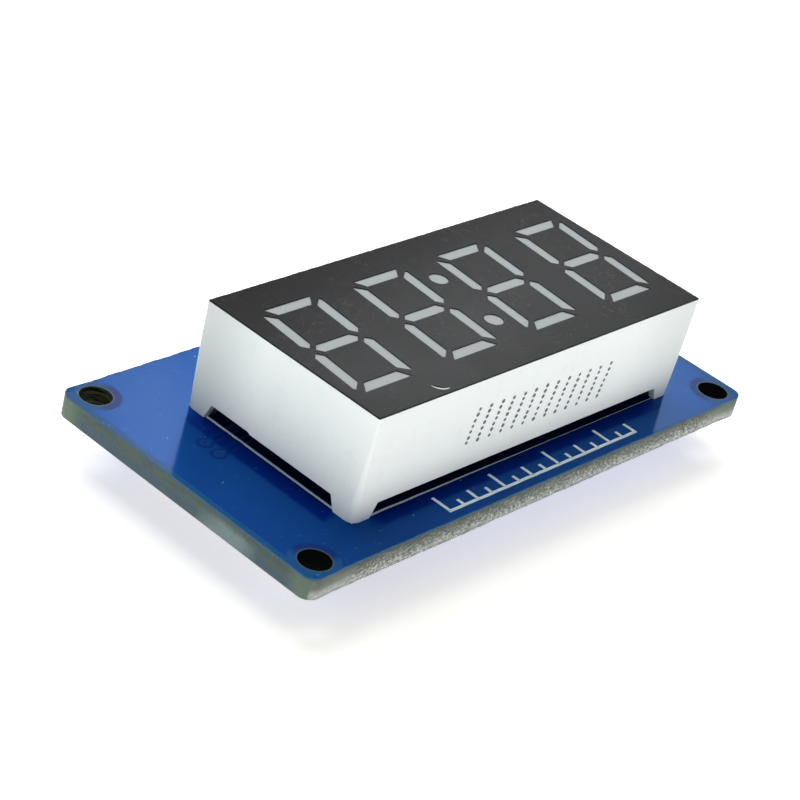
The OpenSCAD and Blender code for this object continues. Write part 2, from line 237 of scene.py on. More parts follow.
class Finish:
    """A material and the nodes that give it its look. Places are in millimetres."""

    def __init__(self, name):
        self.material = bpy.data.materials.new(name)
        self.material.use_nodes = True
        self.tree = self.material.node_tree
        place = self.node("TexCoord", {})["Object"]
        self.place = self.node("VectorMath", {0: place, "Scale": 1 / MM}, operation="SCALE")[0]
        self.x, self.y, self.z = self.node("SeparateXYZ", {0: self.place})

    def node(self, kind, inputs, **settings):
        return new_node(self.tree, kind, inputs, **settings)

    def set(self, **values):
        """Sets the shader's own sockets: base_color="..." feeds Base Color."""
        shader = self.tree.nodes["Principled BSDF"]
        names = {s.name.lower().replace(" ", "_"): s for s in shader.inputs}
        for key, value in values.items():
            feed(self.tree, names[key], value)
        return self

    def math(self, operation, *values):
        """One operation on its values, in a chain where there are more than two."""
        result = self.node("Math", dict(enumerate(values[:2])), operation=operation)[0]
        return self.math(operation, result, *values[2:]) if values[2:] else result

    def times(self, *values):
        return self.math("MULTIPLY", *values)

    def plus(self, a, b):
        return self.math("ADD", a, b)

    def minus(self, a, b):
        return self.math("SUBTRACT", a, b)

    def most(self, a, b):
        return self.math("MAXIMUM", a, b)

    def least(self, a, b):
        return self.math("MINIMUM", a, b)

    def under(self, a, b):
        """1 where a is less than b."""
        return self.math("LESS_THAN", a, b)

    def away(self, a, middle=0.0):
        """How far a is from middle."""
        return self.math("ABSOLUTE", self.minus(a, middle))

    def span(self, value, low, high, out_low=0.0, out_high=1.0, kind="SMOOTHSTEP"):
        """value from low to high becomes out_low to out_high."""
        ends = dict(enumerate((value, low, high, out_low, out_high)))
        return self.node("MapRange", ends, interpolation_type=kind)[0]

    def falls(self, value, low, high):
        """1 up to low, and 0 from high on."""
        return self.span(value, low, high, 1, 0)

    def spread(self, value, out_low, out_high, low=0.3, high=0.7):
        """A noise, whose values are mostly from low to high, as out_low to out_high in a straight line."""
        return self.span(value, low, high, out_low, out_high, "LINEAR")

    def stretch(self, factors, turn=(0, 0, 0), move=(0, 0, 0)):
        """The place, turned and stretched, for a pattern with a grain."""
        changes = {"Location": move, "Rotation": turn, "Scale": factors}
        return self.node("Mapping", {"Vector": self.place, **changes})[0]

    def noise(self, per_mm, detail=3, roughness=0.5, distortion=0.0, place=None):
        settings = {"Scale": per_mm, "Detail": detail, "Roughness": roughness, "Distortion": distortion}
        return self.node("TexNoise", {"Vector": place or self.place, **settings})["Fac"]

    def cells(self, per_mm, place=None, output="Distance"):
        return self.node("TexVoronoi", {"Vector": place or self.place, "Scale": per_mm})[output]

    def specks(self, per_mm, edge, chosen, place=None):
        """1 on small round specks. edge is the span of their rim, and chosen of the cells that have one."""
        near = self.falls(self.cells(per_mm, place), *edge)
        return self.times(near, self.span(self.cells(per_mm, place, "Color"), *chosen))

    def hairs(self, field, thin, wide):
        """1 along the thin lines where a noise passes its middle value."""
        return self.falls(self.away(field, 0.5), thin, wide)

    def mix(self, factor, a, b):
        """Colour a where factor is 0 and b where it is 1."""
        return self.node("Mix", {0: factor, 6: a, 7: b}, data_type="RGBA")[2]

    def coats(self, colour, *coats):
        """The colour with others laid over it in turn: each coat is a factor and a colour."""
        for factor, over in coats:
            colour = self.mix(factor, colour, over)
        return colour

    def bump(self, height, distance, strength=1.0, below=None):
        """distance is the height of the relief, in millimetres, and below the relief that it lies on."""
        inputs = {"Strength": strength, "Distance": distance * MM, "Height": height}
        if below is not None:
            inputs["Normal"] = below
        return self.node("Bump", inputs)[0]


EDGE_STRIP = 0.38
LONG_EDGE_STRIP = 0.14
HOLE_CLEARANCE = 0.6
# the band of painted reflection beside the display: its widths, its soft edge and how far short of the
# corners it stops
MARGIN_X = 1.2
MARGIN_Y = 0.84
MARGIN_SOFT = 0.15
MARGIN_END_X = (2.2, 1.4)
MARGIN_END_Y = (1.4, 0.8)
# reach of the painted shade under the display, from its middle
UNDER_X = 14.9
UNDER_Y = 6.66
MASK_BLUE = (0.0014, 0.05, 0.252)
MASK_BLUE_PALER = (0.0016, 0.054, 0.265)
MASK_ON_GLASS = (0.01, 0.085, 0.25)
MASK_ROUND_HOLE = (0.003, 0.034, 0.2)
# painted reflection: the dark slot under the housing, mirrored in the mask beside the display
MASK_PAINTED_SLOT_REFLECTION = (0.0006, 0.021, 0.21)
# painted shade: the mask under the display, near black
MASK_PAINTED_SHADE_UNDER_DISPLAY = (0.001, 0.01, 0.04)
MASK_SPECK = (0.35, 0.52, 0.75)
MASK_WISP = (0.35, 0.5, 0.65)
MASK_METAL = 0.16
MASK_GLOSS = {"coat_weight": 0.2, "coat_roughness": 0.1, "coat_ior": 1.3, "specular_ior_level": 0.0}
ORANGE_PEEL = 0.0016
GAP_BLUE = (0.001, 0.025, 0.16)
GAP_BLUE_PALER = (0.0012, 0.03, 0.18)
BARE_RIM = (0.06, 0.1, 0.135)


def painted_slot_reflection_band(f, out_x, out_y):
    """1 on the strip left and in front of the display, where the mask gets a painted reflection of the dark
    slot under the housing. out_x and out_y are ways out from its middle.
    """
    side_x, side_y = HOUSING_HALF.x + MARGIN_X, HOUSING_HALF.y + MARGIN_Y
    end_x = [HOUSING_HALF.x - reach for reach in MARGIN_END_X]
    end_y = [HOUSING_HALF.y - reach for reach in MARGIN_END_Y]
    left = f.times(f.falls(out_x, side_x - MARGIN_SOFT, side_x + MARGIN_SOFT), f.falls(out_y, *end_y))
    front = f.times(f.falls(out_y, side_y - MARGIN_SOFT, side_y + MARGIN_SOFT), f.falls(out_x, *end_x))
    return f.most(left, front)


def board_mask():
    """Blue mask: over copper, and on bare laminate by the edges and the holes. Beside the display it
    carries a painted reflection of the dark slot, and under the display painted shade.
    """
    f = Finish("board_mask")
    cloud = f.noise(0.35, 3)
    flat = f.stretch((1, 1, 0))
    wobble = f.spread(f.noise(3.0, 2), -0.05, 0.05, 0, 1)
    past_side = f.most(f.minus(f.away(f.x), BOARD_HIGH.x - EDGE_STRIP),
                       f.minus(f.away(f.y), BOARD_HIGH.y - LONG_EDGE_STRIP))
    in_strip = f.span(f.plus(past_side, wobble), -0.03, 0.03)
    past_hole_x, past_hole_y = f.minus(f.away(f.x), HOLE_X), f.minus(f.away(f.y), HOLE_Y)
    from_hole = f.math("SQRT", f.plus(f.math("POWER", past_hole_x, 2), f.math("POWER", past_hole_y, 2)))
    clear_r = HOLE_R + HOLE_CLEARANCE
    near_hole = f.falls(from_hole, clear_r - 0.1, clear_r + 0.03)
    round_hole = f.mix(f.span(f.most(past_hole_x, past_hole_y), 0.1, 0.9), MASK_ROUND_HOLE, MASK_ON_GLASS)
    out_x, out_y = f.away(f.x, HOUSING_MIDDLE.x), f.away(f.y, HOUSING_MIDDLE.y)
    # painted shade: 1 under the display's footprint, which also shows through the slot
    under = f.span(f.least(f.minus(UNDER_X, out_x), f.minus(UNDER_Y, out_y)), -0.05, 0.05)
    on_front = f.math("GREATER_THAN", f.z, BOARD_TOP / 2)
    speck = f.specks(0.9, (0.03, 0.045), (0.55, 0.6), flat)
    wisp = f.times(f.hairs(f.noise(0.7, 2, 0.4, 1.6, flat), 0.0015, 0.006),
                   f.span(f.noise(1.3, 2, 0.5, 0, flat), 0.6, 0.66), 0.3)
    colour = f.coats(
        f.mix(f.span(cloud, 0.35, 0.65), MASK_BLUE, MASK_BLUE_PALER),
        # painted reflection of the dark slot, in a band beside the display
        (f.times(painted_slot_reflection_band(f, out_x, out_y), on_front), MASK_PAINTED_SLOT_REFLECTION),
        # painted shade under the display
        (f.times(under, on_front), MASK_PAINTED_SHADE_UNDER_DISPLAY),
        (in_strip, MASK_ON_GLASS),
        (near_hole, round_hole),
        (f.falls(from_hole, HOLE_R + 0.07, HOLE_R + 0.12), BARE_RIM),
        # no specks in the painted shade under the display
        (f.times(speck, f.minus(1.0, under)), MASK_SPECK),
        (wisp, MASK_WISP))
    step = f.most(in_strip, near_hole)
    relief = f.bump(step, 0.012, 0.5, f.bump(f.noise(0.9, 2, 0.4), ORANGE_PEEL))
    return f.set(base_color=colour, metallic=f.times(f.minus(1.0, step), MASK_METAL), normal=relief,
                 roughness=f.spread(cloud, 0.2, 0.23), specular_tint=(0.5, 1.0, 1.0), **MASK_GLOSS)


def mask_over_gaps():
    """The mask where there is no copper under it: darker and duller."""
    f = Finish("mask_over_gaps")
    cloud = f.noise(0.8, 3)
    return f.set(base_color=f.mix(cloud, GAP_BLUE, GAP_BLUE_PALER), roughness=f.spread(cloud, 0.36, 0.4),
                 normal=f.bump(f.noise(0.9, 2, 0.4), ORANGE_PEEL), **MASK_GLOSS)


MILLED_UPPER = (0.035, 0.068, 0.0665)
MILLED_LOWER = (0.0385, 0.0735, 0.0965)
MILLED_STREAK = (0.068, 0.09, 0.046)
MILLED_PALE = (0.165, 0.222, 0.222)
MILLED_END = (0.1, 0.15, 0.098)
PALE_PATCH_Y = -3.7
SNAPPED_UPPER = (0.06, 0.084, 0.07)
SNAPPED_MIDDLE = (0.172, 0.197, 0.165)
SNAPPED_LOWER = (0.45, 0.485, 0.465)
# painted shade: a thin darker line along the foot of the long sides
PAINTED_SHADE_AT_FOOT = (0.2, 0.21, 0.195)
SNAPPED_END = (0.115, 0.15, 0.115)
PIT_LOWER = (0.16, 0.165, 0.14)
PIT_UPPER = (0.045, 0.052, 0.035)
FLAKE_LOWER = (0.72, 0.75, 0.7)
FLAKE_UPPER = (0.33, 0.37, 0.24)
FLAKE_DARK = (0.05, 0.058, 0.045)
# painted shade in the mounting holes' bores, near black, and painted light in the far left hole's bore
BORE_PAINTED_SHADE = (0.004, 0.005, 0.004)
BORE_STREAKS_IN_PAINTED_SHADE = (0.004, 0.0055, 0.005)
BORE_PAINTED_LIGHT = (0.05, 0.055, 0.032)
MASK_ON_RIM = (0.012, 0.075, 0.17)
HOLE_BOX = (HOLE_X + 1.2, HOLE_Y + 1.1)


def milled_edge(f, wavy, streaks):
    """The short sides: smooth, with glassy streaks, one paler patch and paler ends."""
    glassy = f.times(f.span(f.noise(1.0, 3, 0.55, 0.5, f.stretch((0.8, 0.5, 2.2))), 0.4, 0.62),
                     f.span(wavy, 0.3, 0.75))
    glassy = f.times(f.most(glassy, f.span(streaks, 0.54, 0.66, 0, 0.6)), 0.75)
    from_patch = f.away(f.plus(f.y, f.spread(f.noise(0.22, 2, 0.5), -1, 1)), PALE_PATCH_Y)
    pale_patch = f.times(f.falls(from_patch, 0.8, 2.4), f.falls(wavy, 0.45, 0.85), 0.7)
    at_ends = f.most(f.span(f.y, BOARD_HIGH.y - 2.4, BOARD_HIGH.y - 0.9, 0, 0.9),
                     f.span(f.y, BOARD_LOW.y + 0.8, BOARD_LOW.y + 2.1, 0.7, 0))
    return f.coats(f.mix(f.span(wavy, 0.45, 0.75), MILLED_LOWER, MILLED_UPPER),
                   (glassy, MILLED_STREAK), (pale_patch, MILLED_PALE), (at_ends, MILLED_END))


def snapped_edge(f, height, wavy):
    """The long sides: pale and torn below, darker above, with painted shade along the foot and darker ends.
    """
    near_end = f.times(f.span(f.away(f.x), BOARD_HIGH.x - 3.6, BOARD_HIGH.x - 1.2, 0, 0.9),
                       f.span(wavy, 0.3, 0.7))
    upper = f.mix(f.span(wavy, 0.62, 0.9), SNAPPED_MIDDLE, SNAPPED_UPPER)
    return f.coats(f.mix(f.span(wavy, 0.1, 0.55), SNAPPED_LOWER, upper),
                   # painted shade along the foot
                   (f.span(height, 0.07, 0.16, 0.45, 0), PAINTED_SHADE_AT_FOOT), (near_end, SNAPPED_END))


def laminate():
    """Glass fibre layers along the board's edges: milled on the short sides, snapped on the long ones."""
    f = Finish("laminate")
    height = f.math("DIVIDE", f.z, BOARD_TOP)
    wavy = f.plus(height, f.spread(f.noise(0.7, 3), -0.16, 0.16, 0, 1))
    streaks = f.noise(1.0, 3, 0.6, 0.3, f.stretch((0.9, 0.9, 7.0)))
    lumps = f.noise(1.0, 3, 0.7, 0.0, f.stretch((2.2, 2.2, 4.5)))
    crumbs = f.noise(1.0, 5, 0.75, 0.15, f.stretch((4.2, 4.2, 6.0), (0, 0.35, 0)))
    on_long_side = f.span(f.away(f.y), BOARD_HIGH.y - 0.3, BOARD_HIGH.y - 0.15)
    crumbly = f.times(on_long_side, f.falls(f.away(f.x), BOARD_HIGH.x - 4.4, BOARD_HIGH.x - 2.6))
    pale_flake = f.times(f.span(crumbs, 0.54, 0.6), f.span(wavy, 0.2, 0.95, 0.75, 0.35), crumbly)
    dark_flake = f.times(f.falls(crumbs, 0.42, 0.5), f.span(wavy, 0.0, 0.3, 0.4, 0.8), crumbly)
    in_hole = f.under(f.most(f.minus(f.away(f.x), HOLE_BOX[X]), f.minus(f.away(f.y), HOLE_BOX[Y])), 0)
    outside = f.minus(1.0, in_hole)
    # painted light: the far left hole's bore is painted lit, and the other bores are painted shade
    lit_bore = f.times(f.under(f.x, 0), f.math("GREATER_THAN", f.y, 0))
    bore = f.mix(f.span(streaks, 0.35, 0.65), BORE_PAINTED_SHADE, f.mix(lit_bore, BORE_STREAKS_IN_PAINTED_SHADE, BORE_PAINTED_LIGHT))
    colour = f.coats(
        f.mix(on_long_side, milled_edge(f, wavy, streaks), snapped_edge(f, height, wavy)),
        (f.times(f.spread(lumps, 0.55, 0, 0.4, 0.64), on_long_side),
         f.mix(f.span(wavy, 0.3, 0.8), PIT_LOWER, PIT_UPPER)),
        (pale_flake, f.mix(f.span(wavy, 0.35, 0.85), FLAKE_LOWER, FLAKE_UPPER)),
        (dark_flake, FLAKE_DARK),
        # the bores, in painted shade and painted light
        (in_hole, bore),
        (f.times(f.span(f.z, BOARD_TOP - 0.2, BOARD_TOP - 0.05), outside), MASK_ON_RIM))
    below = f.bump(crumbs, 0.09, f.times(crumbly, 0.9), f.bump(lumps, 0.06, 0.8))
    return f.set(base_color=colour, roughness=f.spread(lumps, 0.45, 0.7),
                 normal=f.bump(streaks, 0.02, 0.5, below), specular_ior_level=f.times(outside, 0.35))


HOUSING_WHITES = ((0.795, 0.845, 0.828), (0.845, 0.88, 0.862))
# painted shade on the housing's walls
HOUSING_PAINTED_SHADE = (0.56, 0.6, 0.59)
HOUSING_DUST = (0.3, 0.31, 0.3)
HOUSING_SMEAR = (0.5, 0.53, 0.54)
WALL_DEEP = 0.4
# painted shade for the rim's underside and inner faces
SLOT_PAINTED_SHADE = (0.02, 0.02, 0.022)
# near black painted shade: the housing's top under the print, and the epoxy's back
PAINTED_SHADE_BLACK = (0.012, 0.012, 0.013)
FACE_DARKS = ((0.0098, 0.0098, 0.0108), (0.0122, 0.0119, 0.0132))
FACE_DUST = (0.28, 0.28, 0.29)
FACE_CURL = (0.3, 0.3, 0.31)


def housing_white():
    f = Finish("housing_white")
    cloud = f.noise(0.35, 3)
    # painted shade: the left wall darker towards its far end, and the front wall darker towards its right
    # end
    painted_shade_left = f.times(f.span(f.y, 0.5, 5.5, 0, 0.75), f.under(f.x, HOUSING_LOW.x + WALL_DEEP))
    painted_shade_front = f.times(f.span(f.x, 8.0, HOUSING_HIGH.x, 0, 0.55),
                           f.under(f.y, HOUSING_LOW.y + WALL_DEEP))
    dust = f.times(f.specks(0.9, (0.02, 0.035), (0.66, 0.7)), 0.7)
    smear = f.times(f.span(f.noise(1.6, 4, 0.6, 0.5), 0.56, 0.72), 0.1)
    # painted shade on the rim's underside and its inner faces, where the slot under the housing lies in
    # shade
    inset_x = f.minus(HOUSING_HALF.x, f.away(f.x, HOUSING_MIDDLE.x))
    inset_y = f.minus(HOUSING_HALF.y, f.away(f.y, HOUSING_MIDDLE.y))
    epoxy = f.times(f.span(f.least(inset_x, inset_y), 0.38, 0.5),
                    f.falls(f.z, BOARD_TOP + 1.1, BOARD_TOP + 1.3), 0.93)
    # painted shadow: the housing's top under the print is near black, so the cut round the sliver shows
    # dark as the sliver's shadow
    painted_shadow_under_film = f.under(f.away(f.z, PRINT_LOW.z - 0.004), 0.008)
    colour = f.coats(f.mix(cloud, *HOUSING_WHITES), (painted_shade_left, HOUSING_PAINTED_SHADE), (dust, HOUSING_DUST),
                     (painted_shade_front, HOUSING_PAINTED_SHADE), (smear, HOUSING_SMEAR), (epoxy, SLOT_PAINTED_SHADE),
                     (painted_shadow_under_film, PAINTED_SHADE_BLACK))
    flow = f.noise(0.8, 3, 0.5, 0.4, f.stretch((1, 1, 0.4)))
    return f.set(base_color=colour, roughness=f.spread(cloud, 0.42, 0.54, 0.25, 0.75),
                 normal=f.bump(f.noise(24, 3, 0.6), 0.005, 1.0, f.bump(flow, 0.03, 0.5)),
                 specular_ior_level=0.4, subsurface_weight=0.15, subsurface_radius=(1.0, 0.9, 0.8),
                 subsurface_scale=0.0006)


def face_dark():
    """The face print: near black, with dust and the faint curls that handling leaves."""
    f = Finish("face_dark")
    cloud = f.noise(0.3, 3, 0.5)
    dust = f.times(f.specks(1.6, (0.02, 0.034), (0.6, 0.64)), 0.6)
    where = f.stretch((1, 1, 0), move=(3, 1, 0))
    handled = f.span(f.noise(0.22, 2, 0.5, 0, where), 0.45, 0.6, 0, 0.085)
    curl = f.times(f.hairs(f.noise(0.5, 3, 0.5, 2.2), 0.002, 0.016), handled)
    return f.set(base_color=f.coats(f.mix(cloud, *FACE_DARKS), (dust, FACE_DUST), (curl, FACE_CURL)),
                 roughness=f.spread(cloud, 0.10, 0.14), normal=f.bump(f.noise(26, 3, 0.65), 0.0015),
                 specular_ior_level=0.015)


def segment_epoxy():
    """Milky where it fills the light cells, and painted shade, near black, where it closes the housing's
    back.
    """
    f = Finish("segment_epoxy")
    cloud = f.noise(1.5, 3)
    bubble = f.times(f.falls(f.cells(3.2), 0.05, 0.09), 0.2)
    milky = f.coats(f.mix(cloud, (0.4, 0.43, 0.445), (0.46, 0.49, 0.5)), (bubble, (0.75, 0.77, 0.78)))
    # painted shade below this height, on the epoxy's back
    filled = f.span(f.z, BOARD_TOP + 3.0, BOARD_TOP + 3.4)
    return f.set(base_color=f.mix(filled, PAINTED_SHADE_BLACK, milky), roughness=f.spread(cloud, 0.3, 0.4),
                 normal=f.bump(cloud, 0.002), specular_ior_level=0.08)


def board_print(name, low, high):
    f = Finish(name)
    grain = f.noise(12, 3, 0.6)
    return f.set(base_color=f.mix(grain, low, high), roughness=0.5, normal=f.bump(grain, 0.008))


def dot_ink():
    f = Finish("dot_ink")
    patchy = f.span(f.noise(14, 3, 0.6), 0.35, 0.7)
    return f.set(base_color=f.mix(patchy, (0.07, 0.07, 0.075), (0.16, 0.16, 0.165)), roughness=0.6)


def tinned(name, colour, roughness, relief):
    """Tin or solder: bright metal with a soft mottle and fine pits."""
    f = Finish(name)
    cloud = f.noise(2.2, 4, 0.6)
    dull = tuple(c * 0.82 for c in colour)
    return f.set(base_color=f.mix(cloud, dull, colour), metallic=1.0,
                 roughness=f.spread(cloud, roughness * 0.7, roughness * 1.4),
                 normal=f.bump(f.noise(18, 3, 0.6), relief, 0.7, f.bump(cloud, relief * 4, 0.5)))


def moulded(name, colour, roughness, per_mm=16, relief=0.006, spread=0.25):
    """A moulded or fired body with a fine grain."""
    f = Finish(name)
    grain = f.noise(per_mm, 3, 0.65)
    pale = tuple(min(1, c * (1 + spread)) for c in colour)
    return f.set(base_color=f.mix(f.times(f.plus(f.noise(1.2, 3), grain), 0.5), colour, pale),
                 roughness=f.spread(grain, roughness * 0.88, roughness * 1.1),
                 normal=f.bump(grain, relief), specular_ior_level=0.45)


def inner_board():
    f = Finish("inner_board")
    weave = f.noise(1.0, 2, 0.5, 0.0, f.stretch((6, 1.5, 4)))
    return f.set(base_color=f.mix(weave, (0.36, 0.4, 0.22), (0.5, 0.52, 0.33)),
                 roughness=f.spread(weave, 0.4, 0.6, 0, 1), normal=f.bump(weave, 0.01))


FINISHES = {
    "board_mask": board_mask(),
    "mask_over_gaps": mask_over_gaps(),
    "laminate": laminate(),
    "board_print": board_print("board_print", (0.72, 0.88, 0.96), (0.84, 0.97, 1.0)),
    "outline_print": board_print("outline_print", (0.78, 0.89, 1.0), (0.84, 0.93, 1.0)),
    "dot_ink": dot_ink(),
    "housing_white": housing_white(),
    "face_dark": face_dark(),
    "segment_epoxy": segment_epoxy(),
    "inner_board": inner_board(),
    "led_chip": moulded("led_chip", (0.7, 0.6, 0.22), 0.2, 40, 0.002),
    "tinned_pin": tinned("tinned_pin", (0.74, 0.74, 0.73), 0.3, 0.004),
    "solder": tinned("solder", (0.72, 0.73, 0.74), 0.2, 0.006),
    "header_black": moulded("header_black", (0.012, 0.012, 0.013), 0.42),
    "header_pin": tinned("header_pin", (0.86, 0.62, 0.25), 0.25, 0.003),
    "chip_black": moulded("chip_black", (0.02, 0.02, 0.021), 0.62, 22, 0.01),
    "tinned_lead": tinned("tinned_lead", (0.7, 0.71, 0.71), 0.36, 0.004),
    "capacitor_tan": moulded("capacitor_tan", (0.4, 0.26, 0.14), 0.48, 20, 0.004),
    "resistor_black": moulded("resistor_black", (0.015, 0.015, 0.017), 0.3, 10, 0.004),
}

# ---- working the pieces ----

SHARP_ANGLE = math.radians(32)
SOLDER_ANGLE = math.radians(60)
MERGE = 0.0005
FLAT_ANGLE = math.radians(0.4)
TOUCH = 1e-3
rng = random.Random(20260)


def clean_copy(node):
    """A CAD node's shape in millimetres, with its triangles merged into whole faces."""
    bm = bmesh.new()
    bm.from_mesh(frame["nodes"][node].data)
    bmesh.ops.scale(bm, vec=(1 / MM,) * 3, verts=bm.verts)
    bmesh.ops.remove_doubles(bm, verts=bm.verts, dist=MERGE)
    bmesh.ops.dissolve_limit(bm, angle_limit=FLAT_ANGLE, verts=bm.verts, edges=bm.edges)
    bm.normal_update()
    return bm


def finish_piece(name, bm, finishes, replaces=(), slot=None, sharp=SHARP_ANGLE):
    """Puts a worked shape into the frame, in metres. Its record slot is its first finish, unless given."""
    bmesh.ops.scale(bm, vec=(MM,) * 3, verts=bm.verts)
    bm.normal_update()
    for face in bm.faces:
        face.smooth = True
    for edge in bm.edges:
        edge.smooth = edge.is_manifold and edge.calc_face_angle(0) < sharp
    mesh = bpy.data.meshes.new(name)
    bm.to_mesh(mesh)
    bm.free()
    for finish in finishes:
        mesh.materials.append(FINISHES[finish].material)
    made = add_object(name, mesh)
    even = made.modifiers.new("even_shading", "WEIGHTED_NORMAL")
    even.keep_sharp = True
    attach(made, "root")
    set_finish(made, slot or finishes[0])
    if replaces:
        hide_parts(*replaces)


def bevel(bm, edges, width, segments=2):
    bmesh.ops.bevel(bm, geom=list(edges), offset=width, offset_type="OFFSET", segments=segments,
                    profile=0.5, affect="EDGES", material=-1, clamp_overlap=True)


def sharp_edges(bm, angle=40):
    limit = math.radians(angle)
    return [e for e in bm.edges if e.is_manifold and e.calc_face_angle(0) > limit]


def softened(name, node, finish, width, segments=2, angle=40, shortest=0):
    """A CAD solid with its sharp edges rounded."""
    bm = clean_copy(node)
    bevel(bm, [e for e in sharp_edges(bm, angle) if e.calc_length() > shortest], width, segments)
    finish_piece(name, bm, [finish], [node])


def reach(edge, axis):
    """How far an edge runs along an axis."""
    return abs(edge.verts[0].co[axis] - edge.verts[1].co[axis])


def ragged(place, aside=(9, 0, 0)):
    """A small sideways shift that wanders from place to place."""
    return Vector((noise.noise(place), noise.noise(place + Vector(aside)), 0))


def solid_from(bm, faces, depth):
    """Gives flat faces a thickness downwards."""
    out = bmesh.ops.extrude_face_region(bm, geom=faces, use_keep_orig=True)
    moved = [g for g in out["geom"] if isinstance(g, bmesh.types.BMVert)]
    bmesh.ops.translate(bm, verts=moved, vec=(0, 0, -depth))
    bmesh.ops.recalc_face_normals(bm, faces=list(bm.faces))


def swept(bm, path, profile, up=(0, 0, 1), scales=None, closed=False):
    """Extrudes a flat profile of (across, up) points along a path, with mitred turns. Returns the rings."""
    path = [Vector(p) for p in path]
    up = Vector(up)
    scales = scales or [1.0] * len(path)
    rings = []
    count = len(path)
    for i, point in enumerate(path):
        before = (point - path[i - 1]).normalized() if i or closed else None
        after = (path[(i + 1) % count] - point).normalized() if i < count - 1 or closed else None
        along = ((before or after) + (after or before)).normalized()
        across = along.cross(up).normalized()
        stretch = 1.0
        if before is not None and after is not None:
            stretch = 1 / max(0.3, along.dot(after))
        lift = across.cross(along).normalized()
        straight = (before or after).cross(up).normalized()
        flat_turn = abs(straight.dot(across)) < 0.9999
        wide, tall = (stretch, 1.0) if flat_turn else (1.0, stretch)
        rings.append([point + across * (u * scales[i] * wide) + lift * (v * scales[i] * tall)
                      for u, v in profile])
    return lofted(bm, rings, closed)


def lofted(bm, rings, closed=False):
    """Extrudes the first ring's face through the rings that follow. Returns their vertices."""
    first = [bm.verts.new(p) for p in rings[0]]
    start = bm.faces.new(first)
    face, made = start, [first]
    for ring in rings[1:]:
        out = bmesh.ops.extrude_face_region(bm, geom=[face], use_keep_orig=face is start)
        face = next(g for g in out["geom"] if isinstance(g, bmesh.types.BMFace))
        corners = matched_corners(face, made[-1])
        for corner, place in zip(corners, ring):
            corner.co = place
        made.append(corners)
    if closed:
        bmesh.ops.delete(bm, geom=[start, face], context="FACES_ONLY")
        bmesh.ops.bridge_loops(bm, edges=ring_edges(made[0]) + ring_edges(made[-1]))
    new = {v for ring in made for v in ring}
    bmesh.ops.recalc_face_normals(bm, faces=list({f for v in new for f in v.link_faces}))
    return made


def matched_corners(face, previous):
    """The face's corners in the order of the ring that they were copied from, by place."""
    left = list(face.verts)
    corners = []
    for old in previous:
        nearest = min(left, key=lambda v: (v.co - old.co).length_squared)
        left.remove(nearest)
        corners.append(nearest)
    return corners


def ring_edges(ring):
    edges = []
    for a, b in zip(ring, ring[1:] + ring[:1]):
        edges += [e for e in a.link_edges if e.other_vert(a) is b]
    return edges


def rounded_path(points, radius, steps=4):
    """The path with each turn drawn as an arc."""
    points = [Vector(p) for p in points]
    path = [points[0]]
    for before, turn, after in zip(points, points[1:], points[2:]):
        a, b = (before - turn).normalized(), (after - turn).normalized()
        half = a.angle(b) / 2
        leg = min(radius / math.tan(half), (before - turn).length * 0.49, (after - turn).length * 0.49)
        centre = turn + (a + b).normalized() * (leg / math.cos(half))
        r = leg * math.tan(half)
        first, last = (turn + a * leg) - centre, (turn + b * leg) - centre
        for i in range(steps + 1):
            path.append(centre + first.slerp(last, i / steps) if r > 1e-6 else turn)
    path.append(points[-1])
    return path


def circle(radius, segments):
    turns = [2 * math.pi * i / segments for i in range(segments)]
    return [(radius * math.cos(turn), radius * math.sin(turn)) for turn in turns]


def rectangle(wide, tall, corner=0.0):
    """A profile with chamfered corners, about its middle."""
    w, t, c = wide / 2, tall / 2, corner
    if not c:
        return [(-w, -t), (w, -t), (w, t), (-w, t)]
    return [(c - w, -t), (w - c, -t), (w, c - t), (w, t - c),
            (w - c, t), (c - w, t), (-w, t - c), (-w, c - t)]


def turned(bm, place, rings, segments=24):
    """A body of revolution about a line along Z: rings are (height, radius). Returns its rings."""
    path = [Vector(place) + Vector((0, 0, z)) for z, r in rings]
    return swept(bm, path, circle(1.0, segments), up=(0, 1, 0), scales=[r for z, r in rings])


# ---- the board ----

RAGGED_END = 0.9
RAGGED_RAMP = 1.3
RAGGED_CUTS = 170
RAGGED_LAYERS = 5
RAGGED_DEPTH, RAGGED_COARSE, RAGGED_FINE = 0.055, 0.05, 0.04
PLATED_REACH = 1.3
RIM_ANGLE = 0.9
RIM_R = 0.035


